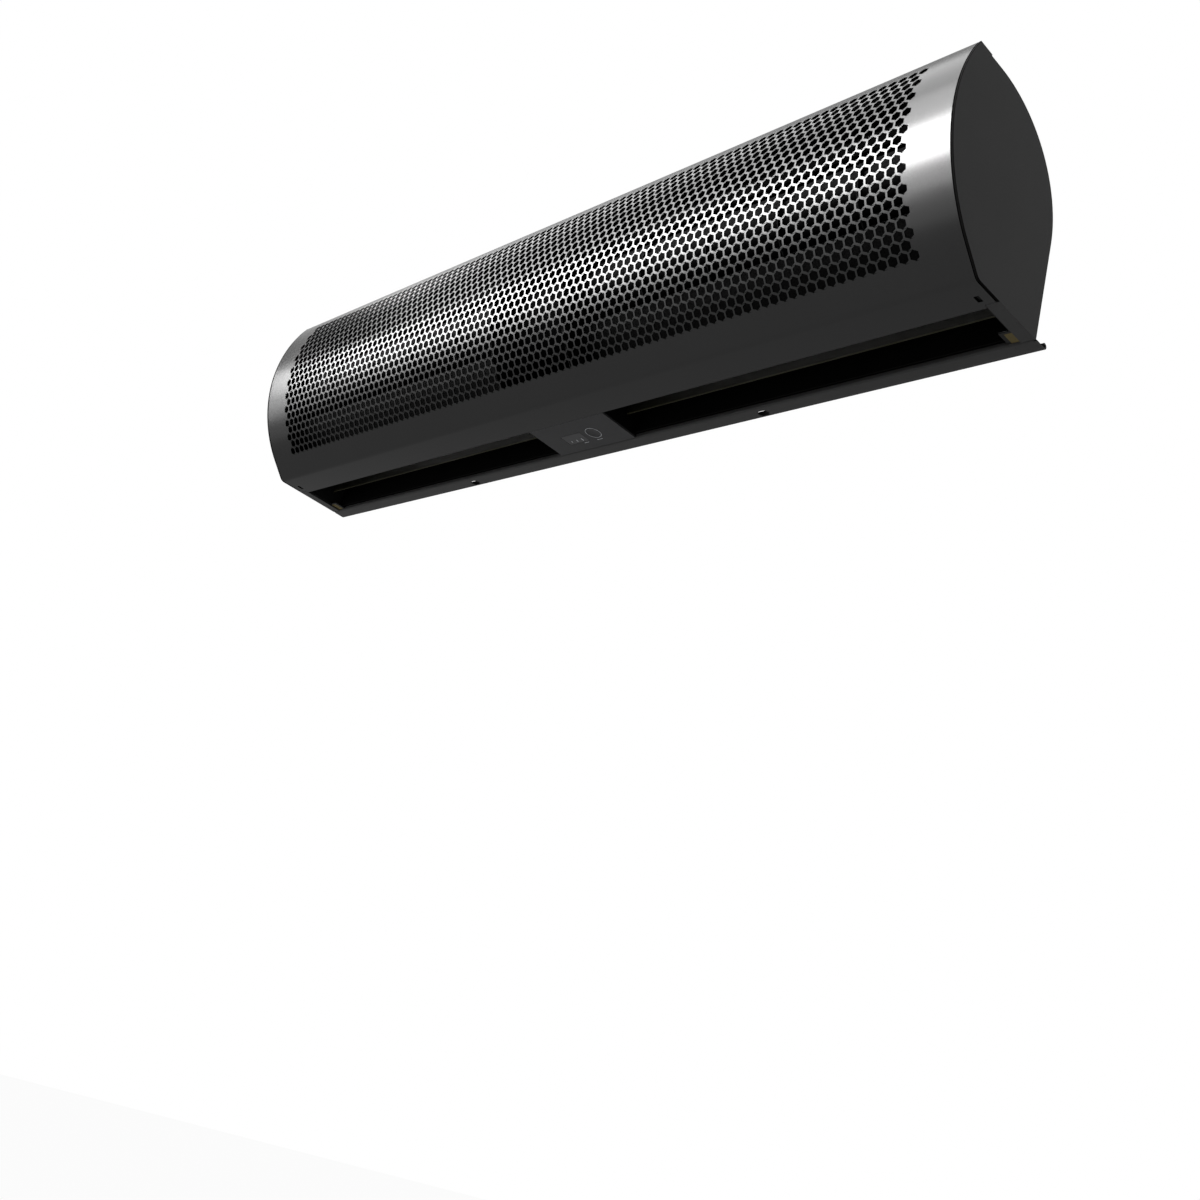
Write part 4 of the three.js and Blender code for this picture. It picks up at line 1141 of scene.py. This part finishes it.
@dataclass
class CrossScrews:
    """The pan-head screws on the casing's rear face."""

    shank: float = 2.0
    tip: Point = (0.7, 0.5)
    head: float = 3.8
    height: float = 2.4
    flat: float = 2.6
    crown: Point = (0.9, 1.2)
    crown_angles: tuple[float, ...] = (20, 45, 70)
    arm: float = 1.9
    arm_width: float = 0.75
    recess: float = 1.3
    taper: float = 0.7
    nodes: tuple[str, ...] = tuple(
        f"{kind}_screw_{number}" for kind in ("motor", "hanger", "side") for number in (1, 2, 3, 4))

    def cross(self) -> list[Point]:
        """Give the outline of the cross recess round the origin."""
        wide, points = self.arm_width / 2, []
        for quarter in range(4):
            swing = Matrix.Rotation(math.radians(90 * quarter), 2)
            points += [tuple(swing @ Vector(point))
                       for point in ((self.arm, -wide), (self.arm, wide), (wide, wide))]
        return points

    def profile(self, low: float, top: float) -> list[Point]:
        """Give the screw's profile from its tip to the top of its head."""
        depth, width = self.crown
        seat = top - self.height
        crown = [(top - depth + depth * math.sin(a), self.flat + width * math.cos(a))
                 for a in map(math.radians, self.crown_angles)]
        return [(low, 0.0), (low, self.shank - self.tip[1]), (low + self.tip[0], self.shank),
                (seat, self.shank), (seat, self.head), (seat + depth, self.head), *crown,
                (top, self.flat), (top, 0.0)]

    def one(self, shop: Workshop, node: str) -> None:
        """Build the screw that stands where a node is.

        Args:
            shop: the workshop.
            node: the screw's node.
        """
        low, high = (shop.place.inverted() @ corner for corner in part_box(node))
        x, z, top = (low.x + high.x) / 2, (low.z + high.z) / 2, high.y
        bm = bmesh.new()
        turn(bm, self.profile(low.y, top), (x, 0, z), REARWARD, 32)
        pole = [v for v in bm.verts if (v.co - Vector((x, top, z))).length < self.arm_width / 4]
        ops.delete(bm, geom=pole, context="VERTS")
        rim = [e for e in bm.edges if e.is_boundary]
        cross = add_loop(bm, [(x + a, top, z + b) for a, b in self.cross()])
        fill(bm, rim, cross)
        floor = new_verts(ops.extrude_edge_only(bm, edges=cross))
        ops.translate(bm, verts=floor, vec=(0, -self.recess, 0))
        ops.scale(bm, vec=(self.taper, 1, self.taper), verts=floor,
                  space=Matrix.Translation((-x, 0, -z)))
        ops.holes_fill(bm, edges=[e for e in bm.edges if e.is_boundary], sides=0)
        ops.recalc_face_normals(bm, faces=bm.faces)
        shop.deliver(bm, f"{node}_cross_head", Finishes.ZINC, instead_of=node, smooth_below=35)

    def build(self, shop: Workshop) -> None:
        """Build every screw."""
        for node in self.nodes:
            self.one(shop, node)


# ---- Moving air: vanes and impellers ----


@dataclass
class Vane:
    """A long lens-shaped blade on two end pins."""

    side: int
    start: float = 54.0
    end: float = 431.0
    pin_start: float = 48.5
    pin_end: float = 440.2
    y: float = -21.0
    pivot_z: float = 30.0
    centre_z: float = 27.0
    half_height: float = 15.0
    half_thickness: float = 1.2
    pin: float = 2.0
    pin_root: float = 1.0
    edge: float = 0.3

    def build(self, shop: Workshop) -> None:
        """Build the blade and its pins."""
        bm = bmesh.new()
        upright = Matrix.Rotation(math.radians(90), 4, "Y")
        shape = Matrix.Diagonal((1, self.half_thickness, self.half_height, 1))
        place = Matrix.Translation((self.side * self.start, self.y, self.centre_z))
        ops.create_circle(bm, cap_ends=True, segments=40, radius=1, matrix=place @ shape @ upright)
        grow(bm, bm.faces[:], (self.side * (self.end - self.start), 0, 0))
        bevel(bm, sharp_edges(bm), self.edge, 2)
        chamfered = self.pin - self.edge
        for inner, outer in ((self.pin_start, self.start + self.pin_root),
                             (self.end - self.pin_root, self.pin_end)):
            profile = [(inner, 0.0), (inner, chamfered), (inner + self.edge, self.pin),
                       (outer - self.edge, self.pin), (outer, chamfered), (outer, 0.0)]
            turn(bm, [(self.side * a, r) for a, r in profile], (0, self.y, self.pivot_z), ALONG, 24)
        name = SIDES[self.side]
        shop.deliver(bm, f"lens_vane_{name}", Finishes.OLIVE, f"vane_{name}", f"guide_vane_{name}")


@dataclass
class Impeller:
    """A cross-flow impeller: rolled blades round the rim of a row of thin discs."""

    side: int
    axis: Point = (-66.0, 98.0)
    radius: float = 46.0
    start: float = 54.0
    end: float = 432.0
    disc: float = 2.0
    blades: int = 36
    blade_inset: float = 0.7
    blade_depth: float = 12.0
    blade_sheet: float = 0.6
    blade_centre: Point = (0.6, 0.8)
    blade_angles: Point = (8.0, 92.0)
    lap: float = 1.0
    bays: int = 5
    bay_disc: float = 1.0
    hub: float = 10.0
    hub_length: float = 18.0
    hub_edge: float = 0.6
    bore: float = 5.3
    stub: float = 4.0
    stub_length: float = 14.0
    stub_edge: float = 0.5

    def blade(self, bm: BMesh) -> None:
        """Draw the rolled blades, curved forwards from the inner rim to the outer one."""
        y, z = self.axis
        roll = (self.blade_depth + self.lap) / math.sqrt(2)
        middle = self.radius - (self.blade_inset + self.blade_depth) / 2
        across, down = self.blade_centre
        path = arc((y + middle - roll * across, z - roll * down), roll, *self.blade_angles, 6)
        sweep(bm, path, self.side * (self.start + self.lap), self.side * (self.end - self.lap))
        thicken(bm, self.blade_sheet, FORWARD)
        ops.spin(bm, geom=parts_of(bm.faces), cent=(0, y, z), axis=ALONG, dvec=(0, 0, 0),
                 angle=math.tau * (1 - 1 / self.blades), steps=self.blades - 1,
                       use_duplicate=True)

    def turned(self, bm: BMesh, profile: list[Point], steps: int) -> None:
        """Turn a profile round the impeller's axis, on its own side of the casing."""
        turn(bm, [(self.side * along, r) for along, r in profile], (0, *self.axis), ALONG, steps)

    def disc_at(self, bm: BMesh, x: float, width: float, inner: float) -> None:
        """Draw one disc, with a hole in the middle where inner isn't 0."""
        self.turned(bm, [(x, inner), (x, self.radius), (x + width, self.radius),
                         (x + width, inner)], 72)

    def build(self, shop: Workshop) -> None:
        """Build the impeller with its hub and stub."""
        bm = bmesh.new()
        self.blade(bm)
        self.disc_at(bm, self.start, self.disc, self.bore)
        self.disc_at(bm, self.end - self.disc, self.disc, 0.0)
        for bay in range(1, self.bays):
            x = self.start + (self.end - self.start) * bay / self.bays
            self.disc_at(bm, x - self.bay_disc / 2, self.bay_disc,
                         self.radius - self.blade_depth - self.lap)
        hub_start, hub_end = self.start + self.lap, self.start + self.hub_length
        self.turned(bm, [(hub_start, self.bore), (hub_end, self.bore),
                         (hub_end, self.hub - self.hub_edge), (hub_end - self.hub_edge, self.hub),
                         (hub_start, self.hub)], 32)
        stub_start, stub_end = self.end - self.lap, self.end + self.stub_length
        self.turned(bm, [(stub_start, 0.0), (stub_start, self.stub),
                         (stub_end - self.stub_edge, self.stub),
                         (stub_end, self.stub - self.stub_edge), (stub_end, 0.0)], 32)
        name = SIDES[self.side]
        shop.deliver(bm, f"bladed_rotor_{name}", Finishes.ALUMINIUM, "rotor",
                     f"impeller_{name}", smooth_below=40)


# ---- Control panel ----


@dataclass
class ControlPanel:
    """The flush panel in the middle of the outlet, with its round key and display window."""

    half_width: float = 50.0
    front: float = -45.0
    rear: float = -1.5
    corner: float = 0.6
    face: float = 0.12
    top: float = 2.0
    edge: float = 0.3
    key_at: Point = (15.0, -22.0)
    key: float = 6.9
    key_gap: float = 0.3
    key_dish: tuple[Point, ...] = (
        (0.45, 0.0), (0.42, 2.0), (0.3, 4.0), (0.08, 5.8), (0.0, 6.3), (0.12, 6.75), (0.5, 6.9))
    collar: float = 8.6
    collar_low: float = 2.3
    collar_high: float = 3.4
    window_at: Point = (-12.0, -20.0)
    window_half: Point = (13.0, 7.0)
    window_corner: float = 1.3
    window_sheet: float = 1.0
    window_edge: float = 0.15
    pocket_corner: float = 1.5
    pocket_floor: float = 1.4
    pocket_sheet: float = 0.5
    pocket_lap: float = 0.5
    post: float = 2.5
    post_root: float = 1.0
    post_top: float = 7.7
    posts: tuple[Point, ...] = ((-35.0, -36.0), (-35.0, -10.0), (35.0, -36.0), (35.0, -10.0))
    mark_low: float = 0.03
    mark_high: float = 0.17
    mark_edge: float = 0.02
    ring: Point = (7.35, 7.8)
    bar_xs: tuple[float, ...] = (-19.0, -12.0, -5.0)
    bar_y: float = -17.0
    bar_half: float = 0.5
    bar_reach: float = 0.9
    caption_y: float = -11.4
    caption_half: float = 0.3
    captions: tuple[Point, ...] = ((-7.5, -1.5), (10.0, 17.0))

    def loop(self, bm: BMesh, points: list[Point]) -> list[BMEdge]:
        """Draw a closed line of (x, y) points at the panel's face."""
        return add_loop(bm, [(x, y, self.face) for x, y in points])

    def plate(self, shop: Workshop) -> None:
        """Build the panel with its key hole, window pocket and board posts."""
        bm = bmesh.new()
        middle = (0.0, (self.front + self.rear) / 2)
        size = (self.half_width, (self.rear - self.front) / 2)
        rim = self.loop(bm, rounded_rectangle(middle, size, self.corner))
        hole = self.loop(bm, arc(self.key_at, self.key + self.key_gap, 0, 360, 48)[:-1])
        half = tuple(h + self.key_gap for h in self.window_half)
        pocket = self.loop(bm, rounded_rectangle(self.window_at, half, self.pocket_corner))
        fill(bm, rim, hole, pocket)
        thicken(bm, self.top - self.face, UP)
        soften(bm, self.edge)
        back = ops.create_grid(bm, x_segments=1, y_segments=1, size=1, matrix=(
            Matrix.Translation((*self.window_at, self.pocket_floor))
            @ Matrix.Diagonal((*(h + self.pocket_lap for h in half), 1, 1))))
        grow(bm, list(back["verts"][0].link_faces), (0, 0, self.pocket_sheet))
        root, shoulder = self.top - self.post_root, self.post_top - self.edge
        profile = [(root, 0.0), (root, self.post), (shoulder, self.post),
                   (self.post_top, self.post - self.edge), (self.post_top, 0.0)]
        for x, y in self.posts:
            turn(bm, profile, (x, y, 0), UP, 20)
        shop.deliver(bm, "outlet_panel", Finishes.PANEL, instead_of="control_panel")

    def round_key(self, shop: Workshop) -> None:
        """Build the key: a dished face with a rounded rim, over a collar inside the panel."""
        bm = bmesh.new()
        profile = [*((self.face + rise, radius) for rise, radius in self.key_dish),
                   (self.collar_low, self.key), (self.collar_low, self.collar),
                   (self.collar_high, self.collar), (self.collar_high, 0.0)]
        turn(bm, profile, (*self.key_at, 0), UP, 64)
        shop.deliver(bm, "dished_key", Finishes.PANEL, "key", "power_key", smooth_below=40)

    def window(self, shop: Workshop) -> None:
        """Build the smoked display window."""
        bm = bmesh.new()
        self.loop(bm, rounded_rectangle(self.window_at, self.window_half, self.window_corner))
        ops.contextual_create(bm, geom=bm.edges[:])
        grow(bm, bm.faces[:], (0, 0, self.window_sheet - self.face))
        soften(bm, self.window_edge)
        shop.deliver(bm, "smoked_window", Finishes.SMOKED, instead_of="display_window")

    def markings(self, shop: Workshop) -> None:
        """Build the printed marks: a ring round the key, three speed bars and two underlines."""
        bm = bmesh.new()
        low, high, (inner, outer) = self.mark_low, self.mark_high, self.ring
        turn(bm, [(low, inner), (high, inner), (high, outer), (low, outer)],
             (*self.key_at, 0), UP, 96)
        bars = [(x, self.bar_y, self.bar_half, self.bar_reach + self.bar_half * number)
                for number, x in enumerate(self.bar_xs)]
        bars += [((start + end) / 2, self.caption_y, (end - start) / 2, self.caption_half)
                 for start, end in self.captions]
        for x, y, half, reach in bars:
            block(bm, (x - half, y - reach, low), (x + half, y + reach, high), self.mark_edge)
        shop.deliver(bm, "panel_marks", Finishes.MARKING)

    def build(self, shop: Workshop) -> None:
        """Build the panel, key, window and marks."""
        for step in (self.plate, self.round_key, self.window, self.markings):
            step(shop)


# ---- Pieces that keep their own solids ----


@dataclass(frozen=True)
class Inside:
    """The bulkheads, air guides, motor and electrics, which keep their own solids."""

    pairs: tuple[tuple[Finishes, tuple[str, ...]], ...] = (
        (Finishes.YELLOW_ZINC, ("side_plate",)),
        (Finishes.BLACK, ("partition", "volute", "tongue")),
        (Finishes.BEARING, ("bearing",)),
        (Finishes.RUBBER, ("bearing_seat", "motor_ring")),
        (Finishes.ENAMEL, ("motor_bell",)),
        (Finishes.SHADED_STEEL, ("motor_strap",)),
    )
    singles: tuple[tuple[Finishes, tuple[str, ...]], ...] = (
        (Finishes.RUBBER, ("cable_grommet",)),
        (Finishes.SHAFT, ("motor_shaft",)),
        (Finishes.CORE, ("rotor_core", "stator_core")),
        (Finishes.SHADED_STEEL, ("motor_cradle", "component_tray")),
        (Finishes.BOARD, ("control_board",)),
        (Finishes.CAPACITOR, ("capacitor",)),
        (Finishes.TERMINAL, ("terminal_block",)),
    )

    def build(self, shop: Workshop) -> None:
        """Give each piece its finish."""
        for finish, kinds in self.pairs:
            for name in (f"{kind}_{side}" for kind in kinds for side in SIDES.values()):
                shop.dress(name, finish)
        for finish, names in self.singles:
            for name in names:
                shop.dress(name, finish)


# ---- Studio ----


@dataclass(frozen=True)
class SoftBox:
    """A rectangular studio lamp: its centre, its size in metres, its power and what it faces.

    A gloss card is seen in mirroring surfaces and lights no others. Where nothing else is given, a
    lamp faces the line along the middle of the cover.
    """

    name: str
    centre: Place
    size: Point
    watts: float
    gloss_card: bool = False
    faces: Place | None = None
    cover_line: Point = (-0.146, 0.02)

    def hang(self) -> None:
        """Hang the lamp."""
        lamp = bpy.data.lights.new(self.name, "AREA")
        lamp.shape = "RECTANGLE"
        lamp.size, lamp.size_y = self.size
        lamp.energy = self.watts
        holder = add_object(self.name, lamp)
        holder.location = self.centre
        aim = Vector(self.faces or (self.centre[0], *self.cover_line)) - Vector(self.centre)
        holder.rotation_euler = aim.to_track_quat("-Z", "Y").to_euler()
        holder.visible_diffuse = not self.gloss_card


@dataclass
class Studio:
    """A pale floor under the wall unit, a white surround, soft lamps and the camera."""

    floor_z: float = -2.1
    floor_size: float = 60.0
    floor_paint: float = 0.8
    floor_glow: float = 0.95
    surround: float = 0.45
    camera_at: Place = (0.914, -0.6856, -0.6413)
    camera_turn: Place = (117.578, -14.654, 43.437)
    lens: float = 41.142
    sensor: float = 36.0
    shift: Point = (-0.0447, -0.1102)
    lamps: tuple[SoftBox, ...] = (
        SoftBox("front_strip", (-1.33, -1.5126, 0.6398), (2.66, 0.766), 371.0, True),
        SoftBox("lower_strip", (-1.6, -1.716, 0.047), (3.2, 0.5), 45.0, True),
        SoftBox("edge_strip", (-1.85, -1.7025, 0.178), (1.7, 0.24), 26.0, True),
        SoftBox("low_card", (-1.6, -1.676, -0.448), (3.2, 0.7), 9.0, True),
        SoftBox("upper_panel", (-1.15, -1.34, 1.52), (3.1, 0.7), 103.0),
        SoftBox("top_panel", (-1.2, -0.58, 1.95), (3.2, 0.95), 80.0),
        SoftBox("side_fill", (2.6, -1.2, 0.3), (1.8, 1.8), 12.0, faces=(0.3, -0.1, 0.0)),
    )

    def seen_share(self, tree: Tree) -> Socket:
        """Give 1 for rays that see the surround itself or in gloss or glass, and 0 for others."""
        path = add_node(tree, "LightPath").outputs
        share = path["Is Camera Ray"]
        for kind in ("Is Glossy Ray", "Is Transmission Ray"):
            share = add_node(tree, "Math", {"operation": "MAXIMUM"},
                             {0: share, 1: path[kind]}).outputs["Value"]
        return share

    def surround_white(self) -> None:
        """Make the world white where it is seen, and a plain soft light elsewhere."""
        world = bpy.data.worlds.new("studio surround")
        bpy.context.scene.world = world
        world.use_nodes = True
        tree = world.node_tree
        tree.nodes.clear()
        soft, white = (
            add_node(tree, "Background", {"Color": WHITE, "Strength": strength}).outputs[0]
            for strength in (self.surround, 1.0))
        mixed = add_node(tree, "MixShader",
                         links={0: self.seen_share(tree), 1: soft, 2: white})
        add_node(tree, "OutputWorld", links={"Surface": mixed.outputs[0]})

    def floor_material(self) -> bpy.types.Material:
        """Make a pale paint that glows nearly white where it is seen.

        Returns:
            The floor's material.
        """
        material = bpy.data.materials.new("pale floor paint")
        material.use_nodes = True
        tree = material.node_tree
        tree.nodes.clear()
        paint = add_node(tree, "BsdfDiffuse", {"Color": (*[self.floor_paint] * 3, 1)})
        glow = add_node(tree, "Emission", {"Color": WHITE, "Strength": 1.0})
        share = add_node(tree, "Math", {"operation": "MULTIPLY", 1: self.floor_glow},
                         {0: self.seen_share(tree)}).outputs["Value"]
        mixed = add_node(tree, "MixShader", links={
            0: share, 1: paint.outputs[0], 2: glow.outputs[0]})
        add_node(tree, "OutputMaterial", links={"Surface": mixed.outputs[0]})
        return material

    def lay_floor(self) -> None:
        """Lay the floor, which keeps a soft shadow."""
        bm = bmesh.new()
        ops.create_grid(bm, x_segments=2, y_segments=2, size=self.floor_size / 2,
                        matrix=Matrix.Translation((0, 0, self.floor_z)))
        mesh = to_mesh(bm, "floor")
        mesh.materials.append(self.floor_material())
        add_object("floor", mesh)

    def set_camera(self) -> None:
        """Set the camera below the unit's right end, looking up along it."""
        view = bpy.data.cameras.new("camera")
        view.sensor_width = self.sensor
        view.lens = self.lens
        view.shift_x, view.shift_y = self.shift
        camera = add_object("camera", view)
        camera.location = self.camera_at
        camera.rotation_euler = Euler(tuple(math.radians(a) for a in self.camera_turn))
        bpy.context.scene.camera = camera

    def build(self) -> None:
        """Set up the whole studio."""
        bpy.context.scene.view_settings.view_transform = "Standard"
        self.surround_white()
        self.lay_floor()
        self.set_camera()
        for lamp in self.lamps:
            lamp.hang()


def main() -> None:
    """Build the studio and every sub-assembly in order."""
    logging.basicConfig(level=logging.INFO, format="%(message)s")
    Studio().build()
    shop = Workshop()
    section = Section()
    Inside().build(shop)
    FrontCover(section).build(shop)
    RearShell(section).build(shop)
    WallMounting().build(shop)
    ControlPanel().build(shop)
    for side in SIDES:
        EndCap(section, side).build(shop)
        Vane(side).build(shop)
        Impeller(side).build(shop)
    CrossScrews().build(shop)


if __name__ == "__main__":
    main()
